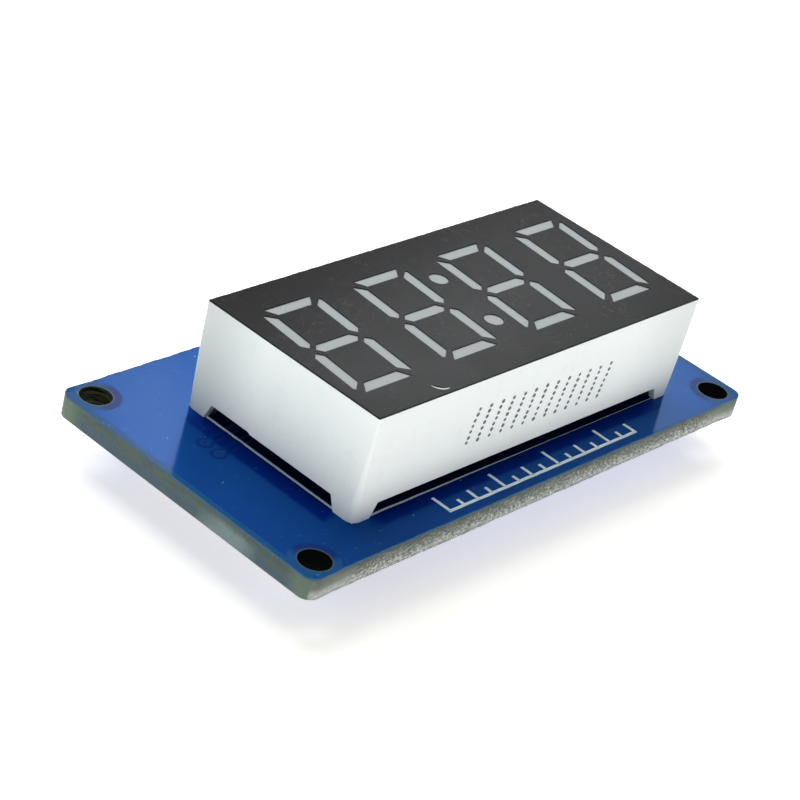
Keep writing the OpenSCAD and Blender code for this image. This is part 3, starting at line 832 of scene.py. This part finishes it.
def make_board():
    bm = clean_copy("circuit_board")
    end = BOARD_HIGH.x - RAGGED_END
    for side in (-1, 1):
        def on_side(v):
            return abs(v.co.y - side * BOARD_HIGH.y) < TOUCH

        long_edges = [e for e in bm.edges if all(map(on_side, e.verts)) and reach(e, X) > BOARD_HIGH.x]
        bmesh.ops.subdivide_edges(bm, edges=long_edges, cuts=RAGGED_CUTS, use_grid_fill=True)
        upright = [e for e in bm.edges if all(map(on_side, e.verts)) and reach(e, Z) > 1
                   and abs(e.verts[0].co.x) < BOARD_HIGH.x - 1]
        bmesh.ops.subdivide_edges(bm, edges=upright, cuts=RAGGED_LAYERS, use_grid_fill=True)
        for v in bm.verts:
            if on_side(v) and abs(v.co.x) < end:
                coarse = noise.noise(v.co * Vector((0.9, 1, 2.0)))
                fine = noise.noise(Vector((v.co.x * 5.0, side * 9, v.co.z * 3.0)))
                ramp = min(1.0, (end - abs(v.co.x)) / RAGGED_RAMP)
                depth = RAGGED_DEPTH + RAGGED_COARSE * coarse + RAGGED_FINE * fine
                v.co.y -= side * ramp * max(0.0, depth)
    bm.normal_update()
    for face in bm.faces:
        flat = abs(face.normal.z) > 0.9
        middle = face.calc_center_median()
        on_edge = abs(middle.x) > end or abs(middle.y) > BOARD_HIGH.y - 0.35
        near_mounting = (abs(middle.x) - HOLE_X) ** 2 + (abs(middle.y) - HOLE_Y) ** 2 < PLATED_REACH
        face.material_index = 0 if flat else 1 if on_edge or near_mounting else 2
    rims = [e for e in bm.edges if e.is_manifold and e.calc_face_angle(0) > RIM_ANGLE
            and (all(v.co.z > BOARD_TOP - 0.01 for v in e.verts) or all(v.co.z < 0.01 for v in e.verts))
            and not all(abs(v.co.y) > BOARD_HIGH.y - 0.25 and abs(v.co.x) < end + 0.05 for v in e.verts)]
    bevel(bm, rims, RIM_R)
    finish_piece("board", bm, ["board_mask", "laminate", "tinned_lead"], ["circuit_board"])


def flat_strip(bm, path, wide, low, high, scales=None, closed=False):
    """A thin flat line along a path of (x, y) points, between two heights."""
    middle = (low + high) / 2
    swept(bm, [(x, y, middle) for x, y in path], rectangle(wide, high - low), scales=scales, closed=closed)


def worn_line(bm, start, end, wide, surface, thick):
    """A printed line whose edges waver a little. A negative thickness is a line on the board's back."""
    start, end = Vector((*start, 0)), Vector((*end, 0))
    steps = max(2, int((end - start).length / 0.25))
    path = []
    for i in range(steps + 1):
        point = start.lerp(end, i / steps)
        point += ragged(point * 2.0) * wide * 0.12
        path.append((point.x, point.y))
    flat_strip(bm, path, wide, min(surface, surface + thick), max(surface, surface + thick))


PRINT_THICK = 0.036
OUTLINE_WIDE = 0.14
OUTLINE_FADE, OUTLINE_FADE_LONG = 0.8, 18
OUTLINE_INSET_X, OUTLINE_INSET_Y = 0.25, 0.21
OUTLINE_STEP = 0.6
OUTLINE_WAVE = 0.02
SCALE_MIDDLE = Vector((0.7, -9.0))
SCALE_TICKS = 15
SCALE_STEP = 1.27
SCALE_LINE = 0.2
SCALE_LONG = 1.45
SCALE_SHARES = (1.0, 0.42, 0.66, 0.42)  # each tick's share of the longest, over and over


def make_front_print():
    """The printed outline that the display stands on, and a plain scale of ticks beside it."""
    bm = bmesh.new()
    x0, x1 = HOUSING_LOW.x + OUTLINE_INSET_X, HOUSING_HIGH.x - OUTLINE_INSET_X
    y0, y1 = HOUSING_LOW.y + OUTLINE_INSET_Y, HOUSING_HIGH.y - OUTLINE_INSET_Y
    corners = [(x0, y0), (x1, y0), (x1, y1), (x0, y1)]
    path = []
    for (ax, ay), (bx, by) in zip(corners, corners[1:] + corners[:1]):
        steps = int(max(abs(bx - ax), abs(by - ay)) / OUTLINE_STEP)
        for i in range(steps):
            x, y = ax + (bx - ax) * i / steps, ay + (by - ay) * i / steps
            wave = OUTLINE_WAVE * noise.noise(Vector((x, y, 3))) if i else 0
            path.append((x + (wave if ax == bx else 0), y + (wave if ay == by else 0)))
    fading = [1 - OUTLINE_FADE * min(1, (x - x0) / OUTLINE_FADE_LONG) if y < y0 + 0.1 else 1
              for x, y in path]
    flat_strip(bm, path, OUTLINE_WIDE, BOARD_TOP, BOARD_TOP + PRINT_THICK, fading, closed=True)
    finish_piece("board_outline_print", bm, ["outline_print"], slot="board_mask")

    bm = bmesh.new()
    left = SCALE_MIDDLE.x - (SCALE_TICKS - 1) * SCALE_STEP / 2
    right = left + (SCALE_TICKS - 1) * SCALE_STEP
    foot = SCALE_MIDDLE.y - SCALE_LONG / 2
    for i in range(SCALE_TICKS):
        x, tall = left + i * SCALE_STEP, SCALE_LONG * SCALE_SHARES[i % 4]
        worn_line(bm, (x, foot + 0.04), (x, foot + tall), SCALE_LINE, BOARD_TOP, PRINT_THICK)
    ends = (left - SCALE_LINE / 2, foot), (right + SCALE_LINE / 2, foot)
    worn_line(bm, *ends, SCALE_LINE, BOARD_TOP, PRINT_THICK)
    finish_piece("board_scale_print", bm, ["board_print"], slot="board_mask")


# ---- the display ----

CORNER_TOP_R = 0.1
CORNER_FOOT_R = 0.62
CORNER_TAPER = 1.6
WALL_LEVELS = (1.5, 3.0, 4.5, 6.0)
WALLS = [(axis, level) for axis in (X, Y) for level in (HOUSING_LOW[axis], HOUSING_HIGH[axis])]
FOOT_TOP = 1.3


def near_corner(v, within):
    """The corner of the housing that a vertex is near, as (x, y), or None."""
    for x in (HOUSING_LOW.x, HOUSING_HIGH.x):
        for y in (HOUSING_LOW.y, HOUSING_HIGH.y):
            if abs(v.co.x - x) < within and abs(v.co.y - y) < within:
                return x, y
    return None


def on_outer_wall(edge):
    for face in edge.link_faces:
        middle = face.calc_center_median()
        inset = min(HOUSING_HALF[axis] - abs(middle[axis] - HOUSING_MIDDLE[axis]) for axis in (X, Y))
        if abs(face.normal.z) < 0.5 and inset < 0.3:
            return True
    return False


def make_housing():
    bm = clean_copy("display_housing")
    outer = [f for f in bm.faces
             if any(all(abs(v.co[axis] - level) < TOUCH for v in f.verts) for axis, level in WALLS)]
    for height in WALL_LEVELS:
        geom = set(outer) | {e for f in outer for e in f.edges} | {v for f in outer for v in f.verts}
        made = bmesh.ops.bisect_plane(bm, geom=list(geom), plane_co=(0, 0, BOARD_TOP + height),
                                      plane_no=(0, 0, 1))
        outer = [g for g in made["geom"] if isinstance(g, bmesh.types.BMFace)]
    upright = [e for e in bm.edges if all(near_corner(v, TOUCH) for v in e.verts) and reach(e, Z) > 0.1]
    bevel(bm, upright, CORNER_FOOT_R, 7)
    # the corners are rounder at the foot than at the top
    for v in bm.verts:
        corner = near_corner(v, CORNER_FOOT_R + TOUCH)
        if corner:
            share = (v.co.z - BOARD_TOP) / (HOUSING_HIGH.z - BOARD_TOP)
            radius = CORNER_TOP_R + (CORNER_FOOT_R - CORNER_TOP_R) * max(0.0, 1 - share) ** CORNER_TAPER
            for axis in (X, Y):
                v.co[axis] = corner[axis] + (v.co[axis] - corner[axis]) * radius / CORNER_FOOT_R
    bm.normal_update()
    top = [e for e in sharp_edges(bm, 50) if on_outer_wall(e)
           and all(v.co.z > HOUSING_HIGH.z - 0.01 for v in e.verts)]
    bevel(bm, top, 0.04)
    under = [e for e in sharp_edges(bm, 50) if on_outer_wall(e)
             and all(v.co.z < BOARD_TOP + FOOT_TOP for v in e.verts)
             and (reach(e, Z) < 0.5 or e.calc_length() < FOOT_TOP)]
    bevel(bm, under, 0.05)
    finish_piece("housing", bm, ["housing_white"], ["display_housing"])


SLIVER_PLACE = Vector((HOUSING_LOW.x + 6.21, HOUSING_LOW.y + 1.15, PRINT_HIGH.z))
SLIVER_R = 0.78
SLIVER_FROM, SLIVER_TO = math.radians(188), math.radians(274)
SLIVER_HALF = 0.06
SLIVER_CLEAR = 0.004
SLIVER_GAP = 0.2
SLIVER_STEPS = 12
SLIVER_SUNK = 0.002
SLIVER_THIN = 0.01


def sliver_outline(clear, gap):
    """Outline of a curved sliver that thins out at both ends, or of the cut round it."""
    shares = [i / SLIVER_STEPS for i in range(SLIVER_STEPS + 1)]
    outer = [(t, SLIVER_HALF + clear) for t in shares]
    inner = [(t, -SLIVER_HALF - clear - gap * (1 - t) ** 0.7) for t in reversed(shares)]
    points = []
    for t, out in outer + inner:
        turn = SLIVER_FROM + (SLIVER_TO - SLIVER_FROM) * t
        r = SLIVER_R + out * math.sin(math.pi * (0.06 + 0.88 * t)) ** 0.6
        points.append(SLIVER_PLACE + Vector((r * math.cos(turn), r * math.sin(turn), 0)))
    return points


# cuts for the edges longer than each length
PRINT_CUTS = ((20, 260), (8, 120), (2, 18), (0.9, 6), (0.3, 2))
PRINT_ROUGH_OUTSIDE, PRINT_ROUGH = 0.03, 0.012
PRINT_MARGIN = 0.02


def make_face_print():
    """The dark print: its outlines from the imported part, with the slight raggedness of a printed edge."""
    bm = clean_copy("face_print")
    bmesh.ops.delete(bm, geom=[f for f in bm.faces if f.normal.z < 0.5], context="FACES")
    inner = [e for e in bm.edges if not e.is_boundary]
    bmesh.ops.delete(bm, geom=list(bm.faces), context="FACES_ONLY")
    bmesh.ops.delete(bm, geom=inner, context="EDGES")
    for length, cuts in PRINT_CUTS:
        long_ones = [e for e in bm.edges if e.calc_length() > length]
        if long_ones:
            bmesh.ops.subdivide_edges(bm, edges=long_ones, cuts=cuts)
    for v in bm.verts:
        inset = min(min(v.co[axis] - PRINT_LOW[axis], PRINT_HIGH[axis] - v.co[axis]) for axis in (X, Y))
        rough = PRINT_ROUGH_OUTSIDE if inset < 0.01 else PRINT_ROUGH
        v.co += (ragged(v.co * 3.1, (7, 3, 0)) + 0.6 * ragged(v.co * 9.0, (7, 3, 0))) * rough
        for axis in (X, Y):
            low, high = HOUSING_LOW[axis] + PRINT_MARGIN, HOUSING_HIGH[axis] - PRINT_MARGIN
            v.co[axis] = min(max(v.co[axis], low), high)
    cut = [bm.verts.new(p) for p in sliver_outline(SLIVER_CLEAR, SLIVER_GAP)]
    for a, b in zip(cut, cut[1:] + cut[:1]):
        bm.edges.new((a, b))
    bmesh.ops.triangle_fill(bm, use_beauty=True, use_dissolve=False, edges=list(bm.edges), normal=(0, 0, 1))
    bm.normal_update()
    if sum(f.normal.z for f in bm.faces) < 0:
        bmesh.ops.reverse_faces(bm, faces=list(bm.faces))
    for v in bm.verts:
        v.co.z = PRINT_HIGH.z
    solid_from(bm, list(bm.faces), PRINT_HIGH.z - PRINT_LOW.z)
    finish_piece("face_film", bm, ["face_dark"], ["face_print"])


def make_sliver():
    """The lifted sliver of the print, turned over so that its pale underside shows."""
    bm = bmesh.new()
    sunk = Vector((0, 0, SLIVER_SUNK))
    face = bm.faces.new([bm.verts.new(p - sunk) for p in sliver_outline(0, 0)])
    solid_from(bm, [face], PRINT_HIGH.z - PRINT_LOW.z - SLIVER_THIN)
    finish_piece("print_sliver", bm, ["housing_white"])


# a generic mark in ink dots on the housing's front: a row of slanted strokes, all alike
MARK_STROKES = 13
MARK_DOTS = 7
MARK_PITCH = 1.06
MARK_ROW = 0.38
MARK_MIDDLE = Vector((0.85, 3.7))
MARK_DROP = -0.035
MARK_SLANT = 0.2
MARK_STRAY = 0.03
MARK_DOT_R = (0.115, 0.15)


def make_housing_marks():
    """A row of ink strokes on the housing's front, with no lettering."""
    bm = bmesh.new()
    y = HOUSING_LOW.y
    for stroke in range(MARK_STROKES):
        across = (stroke - (MARK_STROKES - 1) / 2) * MARK_PITCH
        for dot in range(MARK_DOTS):
            rise = (dot - (MARK_DOTS - 1) / 2) * MARK_ROW
            along = across + rise * MARK_SLANT + rng.uniform(-MARK_STRAY, MARK_STRAY)
            x = MARK_MIDDLE.x + along
            z = BOARD_TOP + MARK_MIDDLE.y + rise + along * MARK_DROP + rng.uniform(-MARK_STRAY, MARK_STRAY)
            r = rng.uniform(*MARK_DOT_R)
            swept(bm, [(x, y + 0.004, z), (x, y - 0.006, z), (x, y - 0.01, z)], circle(1.0, 10),
                  scales=[r, r, r * 0.7])
    finish_piece("housing_marks", bm, ["dot_ink"], slot="housing_white")


# ---- the back ----

LEADS_PER_SIDE = 10
LEAD_PITCH = 1.27
LEAD_FOOT = 0.8
LEAD_WIDE = 0.42
LEAD_THICK = 0.25
LEAD_BEND_R = 0.22
END_LONG = 0.3
CHIP_PART_WIDE = 0.8
CHIP_PARTS = (("capacitor_", "capacitor_tan"), ("resistor_", "resistor_black"))
PIN_TIP = ((0.22, 1.0), (0.1, 0.96), (0.05, 0.8))  # heights above the tip, and shares of the pin's radius
PIN_LEAN = 0.2


def make_pins():
    bm = bmesh.new()
    names = nodes_named("display_pin_")
    for name, (x, y) in zip(names, PINS):
        low, high = box_mm(name)
        r = (high.x - low.x) / 2
        lean = rng.uniform(0, 2 * math.pi)
        tip = [(low.z + rise, r * share) for rise, share in PIN_TIP]
        for v in turned(bm, (x, y, 0), [(high.z, r), *tip], 20)[-1]:
            v.co.z += PIN_LEAN * ((v.co.x - x) * math.cos(lean) + (v.co.y - y) * math.sin(lean))
    finish_piece("display_pins", bm, ["tinned_pin"], names)


def fillet_rings(foot_r, top_r, height, steps=9, power=2.4):
    """Rings of a solder fillet, from its foot to its thin top, as (height, radius)."""
    return [(height * (i / steps) ** 0.9, top_r + (foot_r - top_r) * (1 - i / steps) ** power)
            for i in range(steps + 1)]


def solder_cones(name, places, surface, down, foot_r, top_r, height, replaces):
    bm = bmesh.new()
    fillet = [(-0.01, foot_r * 0.98), *fillet_rings(foot_r, top_r, height)]
    rise = [(surface + down * h, r) for h, r in fillet]
    for x, y in places:
        seed = Vector((x, y, surface)) * 1.7
        for ring in turned(bm, (x, y, 0), rise, 28)[1:]:
            for v in ring:
                away = Vector((v.co.x - x, v.co.y - y, 0))
                where = seed + away.normalized() * 0.9 + Vector((0, 0, v.co.z * 0.8))
                swell = 1 + 0.07 * noise.noise(where)
                v.co.x, v.co.y = x + away.x * swell, y + away.y * swell
    bmesh.ops.recalc_face_normals(bm, faces=list(bm.faces))
    finish_piece(name, bm, ["solder"], [replaces], sharp=SOLDER_ANGLE)


def make_header():
    softened("header_block", "header_body", "header_black", 0.06)
    bm = bmesh.new()
    names = nodes_named("header_pin_")
    for name, (x, y) in zip(names, HEADER_PINS):
        low, high = box_mm(name)
        thick = high.x - low.x
        z = low.z + thick / 2
        path = rounded_path([(x, y, high.z), (x, y, z), (x, high.y, z)], 0.25 + thick / 2, 6)
        path.insert(1, path[0] - Vector((0, 0, 0.3)))
        path.insert(-1, path[-1] - Vector((0, 0.35, 0)))
        scales = [0.55, *[1.0] * (len(path) - 2), 0.5]
        swept(bm, path, rectangle(thick, thick, 0.05), up=(1, 0, 0), scales=scales)
    finish_piece("header_wires", bm, ["header_pin"], names)


def make_chip_and_parts():
    softened("chip_body", "driver_chip", "chip_black", 0.07, angle=12, shortest=1)
    low, high = box_mm("driver_chip")
    middle = (low + high) / 2
    foot_z = box_mm("driver_chip_leads")[1].z - LEAD_THICK / 2
    bm = bmesh.new()
    for foot_x, y, side in lead_places():
        wall, tip = middle.x + side * (high.x - low.x) / 2, foot_x + side * LEAD_FOOT / 2
        points = [(wall - side * 0.15, y, middle.z), (wall + side * 0.33, y, middle.z),
                  (tip - side * 0.78, y, foot_z), (tip, y, foot_z)]
        swept(bm, rounded_path(points, LEAD_BEND_R), rectangle(LEAD_WIDE, LEAD_THICK, 0.03))
    finish_piece("chip_leads", bm, ["tinned_lead"], ["driver_chip_leads"])
    for prefix, finish in CHIP_PARTS:
        for name in nodes_named(prefix):
            softened(name.replace("_", "_body_"), name, finish, 0.04)
    softened("chip_part_caps", "chip_part_ends", "tinned_lead", 0.07, 3)


# ---- pads, solder, traces and print ----

PAD_THICK = 0.045
LEAD_PAD, LEAD_PAD_OUT = (1.75, 0.66), 0.2
PART_PAD, PART_PAD_OUT = (0.9, 1.04), 0.12
PIN_PAD_R, PIN_PAD_BORE = 0.95, 0.4
HEADER_PAD_R, HEADER_PAD_BORE = 1.02, 0.5
SOLDER_SUNK = 0.02
LEAD_SOLDER_HIGH = 0.2
PART_SOLDER_HIGH, PART_SOLDER_SHARE = 0.45, 0.72


def lead_places():
    """The middle of each chip lead's foot, with the side that it points to."""
    low, high = box_mm("driver_chip")
    tips_low, tips_high = box_mm("driver_chip_leads")
    first = (low.y + high.y) / 2 - (LEADS_PER_SIDE - 1) / 2 * LEAD_PITCH
    rows = [first + i * LEAD_PITCH for i in range(LEADS_PER_SIDE)]
    feet = ((tips_low.x + LEAD_FOOT / 2, -1), (tips_high.x - LEAD_FOOT / 2, 1))
    return [(x, y, side) for x, side in feet for y in rows]


def part_ends():
    """The middle of each metal end of the chip parts, the side that it points to, and the part's height."""
    ends = []
    for name in nodes_named("capacitor_", "resistor_"):
        low, high = box_mm(name)
        for side, x in ((-1, low.x), (1, high.x)):
            ends.append((x + side * END_LONG / 2, (low.y + high.y) / 2, side, high.z - low.z))
    return ends


def rounded_rectangle(x, y, wide, tall, corner, z, steps=3):
    """Points round a rectangle with rounded corners, at a height."""
    corner = min(corner, wide / 2 - TOUCH, tall / 2 - TOUCH)
    points = []
    for quarter in range(4):
        cx = x + (wide / 2 - corner) * (1 if quarter in (0, 3) else -1)
        cy = y + (tall / 2 - corner) * (1 if quarter in (0, 1) else -1)
        for i in range(steps + 1):
            turn = math.pi / 2 * (quarter + i / steps)
            points.append(Vector((cx + corner * math.cos(turn), cy + corner * math.sin(turn), z)))
    return points


def fillet_mound(bm, foot, top, height, seed, steps=6):
    """Solder that sweeps up from a pad to the metal that it wets. foot and top are x, y, wide, tall."""
    rings = []
    for i in range(steps + 1):
        t = i / steps
        share = (1 - t) ** 2.2
        x, y, wide, tall = [b + (a - b) * share for a, b in zip(foot, top)]
        wobble = 1 + 0.05 * noise.noise(Vector((seed, t * 2, 5)))
        z = -SOLDER_SUNK - (height - SOLDER_SUNK) * t
        rings.append(rounded_rectangle(x, y, wide * wobble, tall * wobble, 0.12, z))
    lofted(bm, rings)


def pad(bm, x, y, size):
    """A block of copper on the board's back."""
    wide, tall = size
    place = Matrix.Translation((x, y, -PAD_THICK / 2)) @ Matrix.Diagonal((wide, tall, PAD_THICK, 1))
    bmesh.ops.create_cube(bm, size=1, matrix=place)


def washer(bm, x, y, inner, outer, surface, thick):
    """A flat ring on the board, spun from its section."""
    a, b = surface, surface + thick
    section = [(x + inner, y, a), (x + outer, y, a), (x + outer - abs(thick) / 2, y, b), (x + inner, y, b)]
    verts = [bm.verts.new(p) for p in section]
    face = bm.faces.new(verts)
    bmesh.ops.spin(bm, geom=[*verts, *face.edges], cent=(x, y, 0), axis=(0, 0, 1), angle=2 * math.pi,
                   steps=32, use_merge=True, use_duplicate=False)
    bmesh.ops.delete(bm, geom=[face], context="FACES_ONLY")
    bmesh.ops.recalc_face_normals(bm, faces=bm.faces[:])


def make_pads():
    """The tinned pads, which stand a little out of the mask."""
    bm = bmesh.new()
    for x, y, side in lead_places():
        pad(bm, x + side * LEAD_PAD_OUT, y, LEAD_PAD)
    for x, y, side, tall in part_ends():
        pad(bm, x + side * PART_PAD_OUT, y, PART_PAD)
    bevel(bm, [e for e in bm.edges if reach(e, Z) > PAD_THICK / 2], 0.1, 3)
    for places, bore, r in ((PINS, PIN_PAD_BORE, PIN_PAD_R), (HEADER_PINS, HEADER_PAD_BORE, HEADER_PAD_R)):
        for x, y in places:
            washer(bm, x, y, bore, r, 0, -PAD_THICK)
            washer(bm, x, y, bore, r, BOARD_TOP, PAD_THICK)
    finish_piece("solder_pads", bm, ["tinned_lead"])


def make_surface_solder():
    bm = bmesh.new()
    for i, (x, y, side) in enumerate(lead_places()):
        foot = (x + side * 0.18, y, LEAD_PAD[X] - 0.16, LEAD_PAD[Y] - 0.08)
        top = (x + side * 0.03, y, LEAD_FOOT + 0.06, LEAD_WIDE + 0.02)
        fillet_mound(bm, foot, top, LEAD_SOLDER_HIGH, i * 3.7)
    for i, (x, y, side, tall) in enumerate(part_ends()):
        foot = (x + side * PART_PAD_OUT, y, PART_PAD[X] - 0.04, PART_PAD[Y] - 0.04)
        top = (x, y, END_LONG + 0.02, CHIP_PART_WIDE + 0.02)
        fillet_mound(bm, foot, top, min(PART_SOLDER_HIGH, PART_SOLDER_SHARE * tall), 90 + i * 2.3)
    finish_piece("surface_solder", bm, ["solder"], sharp=SOLDER_ANGLE)


TRACE_WIDE = 0.3
POWER_WIDE = 0.6
TRACE_THICK = 0.022
GAP_THICK = TRACE_THICK / 3
TRACE_GAP, FRONT_GAP = 0.2, 0.19
LAYER_STEP = 0.0003
LEAD_OUT, LEAD_RUN = 0.6, 0.35
NEAR_LEVELS = (-6.0, -4.35, -3.7, -3.05, -2.4)
FAR_LEVELS = (5.0, 2.9, 2.25, 1.6, 0.95)
POWER_RUN = 1.1
GROUND_RUN = 1.6
VIA_R = 0.34
VIAS = [(-19.2, -3.2), (-19.2, 0.6), (-6.1, -1.6), (-2.6, 0.4), (1.9, -0.6), (5.4, -1.3), (9.2, -8.2),
        (13.2, -7.7), (17.6, -3.9), (17.6, 3.0), (13.2, 3.4), (13.2, 6.2), (16.4, 6.2), (0.6, 8.9),
        (-12.4, 9.2), (-6.4, -9.3), (-12.8, -9.3), (2.2, -9.3)]
# two vias beside the display, with traces that run in under it
FRONT_VIAS = [(-16.45, 2.35), (-16.5, 1.12)]


def trace_routes():
    """Paths of the traces on the board's back, as (x, y) points, and each one's width."""
    leads = {(side, i % LEADS_PER_SIDE): (x + side * LEAD_OUT, y)
             for i, (x, y, side) in enumerate(lead_places())}
    near_row, far_row = PINS[:len(PINS) // 2], PINS[len(PINS) // 2:]
    ends = [(x, y) for x, y, side, tall in part_ends()]
    routes = []

    # the chip's inner leads run along the middle, and turn to the pins of each row in order
    last = LEADS_PER_SIDE - 1
    for row, first, step, levels in ((near_row, 0, 1, NEAR_LEVELS), (far_row, last, -1, FAR_LEVELS)):
        for i, level in enumerate(levels):
            (ax, ay), (bx, by) = leads[1, first + i * step], row[i]
            turn = ax + LEAD_RUN
            routes.append(([(ax, ay), (turn, ay), (turn + abs(level - ay), level),
                            (bx - abs(level - by), level), (bx, by)], TRACE_WIDE))

    # its outer leads run round its ends: each x is from the lead (a), the pin (b) or the middle
    def round_end(lead, pin, first, *turns):
        a = leads[-1, lead]
        start = {"a": a[0], "b": pin[0], "middle": 0.0}
        path = [a, (a[0] + first, a[1]), *[(start[place] + x, y) for place, x, y in turns], pin]
        routes.append((path, TRACE_WIDE))

    round_end(0, near_row[-1], -0.5, ("a", -0.5, -7.3), ("a", 0.3, -8.1), ("b", -2.07, -8.1))
    round_end(last, far_row[-1], -0.4, ("a", -0.4, 6.4), ("a", -0.1, 6.7), ("middle", 1.0, 6.7),
              ("middle", 1.95, 5.75), ("b", -1.62, 5.75))
    round_end(last - 1, HEADER_PINS[0], -0.9, ("a", -0.9, 6.6), ("a", -0.1, 7.4))
    round_end(last - 2, HEADER_PINS[1], -1.4, ("a", -1.4, 6.7), ("a", 0.05, 8.15), ("b", -0.75, 8.15))

    # power and ground join the header to the chip parts
    (fx, fy), (px, py), (gx, gy) = ends[8], HEADER_PINS[2], HEADER_PINS[3]
    turn = (fx - POWER_RUN, fy + 0.6)
    routes.append(([(px, py), (px, 2.2), turn, (fx - 0.5, fy), (fx, fy)], POWER_WIDE))
    routes.append(([turn, (turn[X], ends[0][Y] + 0.8), ends[0]], POWER_WIDE))
    routes.append(([(ends[4][X] - POWER_RUN, ends[4][Y]), ends[4]], POWER_WIDE))
    for angle in (0, math.pi / 2, math.pi):
        spoke = (gx + GROUND_RUN * math.cos(angle), gy - GROUND_RUN * math.sin(angle))
        routes.append(([(gx, gy), spoke], TRACE_WIDE))
    for a, b in ((1, 2), (5, 6), (9, 10)):
        routes.append(([ends[a], ends[b]], TRACE_WIDE))
    for i in (3, 7, 11):
        routes.append(([ends[i], (ends[i][X] + POWER_RUN, ends[i][Y])], POWER_WIDE))
    return routes


def make_traces():
    """Copper traces under the mask, which stand out of it as low ridges, with the bare gaps beside them."""
    traces, gaps = bmesh.new(), bmesh.new()
    for i, (path, wide) in enumerate(trace_routes()):
        points = [p for p, before in zip(path, [None, *path])
                  if before is None or (Vector(p) - Vector(before)).length > 0.02]
        lift = i * LAYER_STEP
        for bm, width, thick, corner in ((traces, wide, TRACE_THICK + lift, 0.008),
                                         (gaps, wide + 2 * TRACE_GAP, GAP_THICK + lift, 0.0)):
            swept(bm, [(x, y, -thick / 2) for x, y in points], rectangle(width, thick, corner))
    for i, (x, y) in enumerate(VIAS):
        washer(traces, x, y, 0.12, VIA_R, 0, -TRACE_THICK)
        washer(gaps, x, y, 0.2, VIA_R + TRACE_GAP, 0, -GAP_THICK - i * LAYER_STEP)
    for places, r in ((PINS, PIN_PAD_R), (HEADER_PINS, HEADER_PAD_R)):
        for i, (x, y) in enumerate(places):
            washer(gaps, x, y, 0.6, r + TRACE_GAP, 0, -TRACE_THICK / 2 - i * LAYER_STEP)
    for i, (x, y) in enumerate(FRONT_VIAS):
        run = [(x + VIA_R * 0.7, y), (x + 0.9, y + 0.1), (x + 1.5, y + 0.1 + 0.1 * i),
               (HOUSING_LOW.x + 1.4, y + 0.4)]
        for bm, bore, gap, thick in ((traces, 0.1, 0.0, TRACE_THICK), (gaps, 0.08, FRONT_GAP, GAP_THICK)):
            flat_strip(bm, run, TRACE_WIDE + 2 * gap, BOARD_TOP, BOARD_TOP + thick + i * LAYER_STEP)
            washer(bm, x, y, bore, VIA_R + gap, BOARD_TOP, thick + (i + 2) * LAYER_STEP)
    finish_piece("traces", traces, ["board_mask"])
    finish_piece("trace_gaps", gaps, ["mask_over_gaps"], slot="board_mask")


BACK_LINE = 0.16
CHIP_OUT = 0.28
CHIP_RETURN = 0.8
LEAD_MARK_R = 0.26
PART_OUT_X, PART_OUT_Y = 1.32, 0.72


def make_back_print():
    """Part outlines, the mark at the chip's first lead and the header's outline. There is no lettering."""
    bm = bmesh.new()

    def line(*points):
        for a, b in zip(points, points[1:]):
            worn_line(bm, a, b, BACK_LINE, 0, -PRINT_THICK)

    low, high = box_mm("driver_chip")
    for y, back in ((low.y - CHIP_OUT, CHIP_RETURN), (high.y + CHIP_OUT, -CHIP_RETURN)):
        line((low.x + 0.1, y + back), (low.x + 0.1, y), (high.x - 0.1, y), (high.x - 0.1, y + back))
    turned(bm, (high.x + 0.9, high.y + 0.15, 0), [(0, LEAD_MARK_R), (-PRINT_THICK, LEAD_MARK_R)])
    for name in nodes_named("capacitor_", "resistor_"):
        low, high = box_mm(name)
        cx, cy = (low.x + high.x) / 2, (low.y + high.y) / 2
        left, right, near, far = cx - PART_OUT_X, cx + PART_OUT_X, cy - PART_OUT_Y, cy + PART_OUT_Y
        line((left, near), (right, near))
        line((left, far), (right, far))
        if name.startswith("capacitor_"):
            line((left, near), (left, far))
            line((right, near), (right, far))
    low, high = box_mm("header_body")
    left, right, near, far = low.x - 0.3, high.x + 0.3, HEADER_PINS[0][Y] - 1.2, BOARD_HIGH.y - 0.6
    line((left, far), (left, near), (right, near), (right, far))
    finish_piece("back_print", bm, ["board_print"], slot="board_mask")


make_board()
make_front_print()
make_housing()
make_face_print()
make_sliver()
make_pins()
solder_cones("pin_solder", PINS, 0.0, -1, 0.8, 0.31, 1.0, "display_solder_joints")
solder_cones("header_solder", HEADER_PINS, BOARD_TOP, 1, 0.85, 0.4, 0.85, "header_solder_joints")
make_header()
make_chip_and_parts()
make_pads()
make_surface_solder()
make_traces()
make_back_print()
make_housing_marks()

for subpart in frame["record"]["subparts"]:
    cad = frame["nodes"][subpart["node"]]
    cad.data.materials.clear()
    cad.data.materials.append(FINISHES[subpart["material_slot"]].material)
    cad["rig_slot"] = subpart["material_slot"]
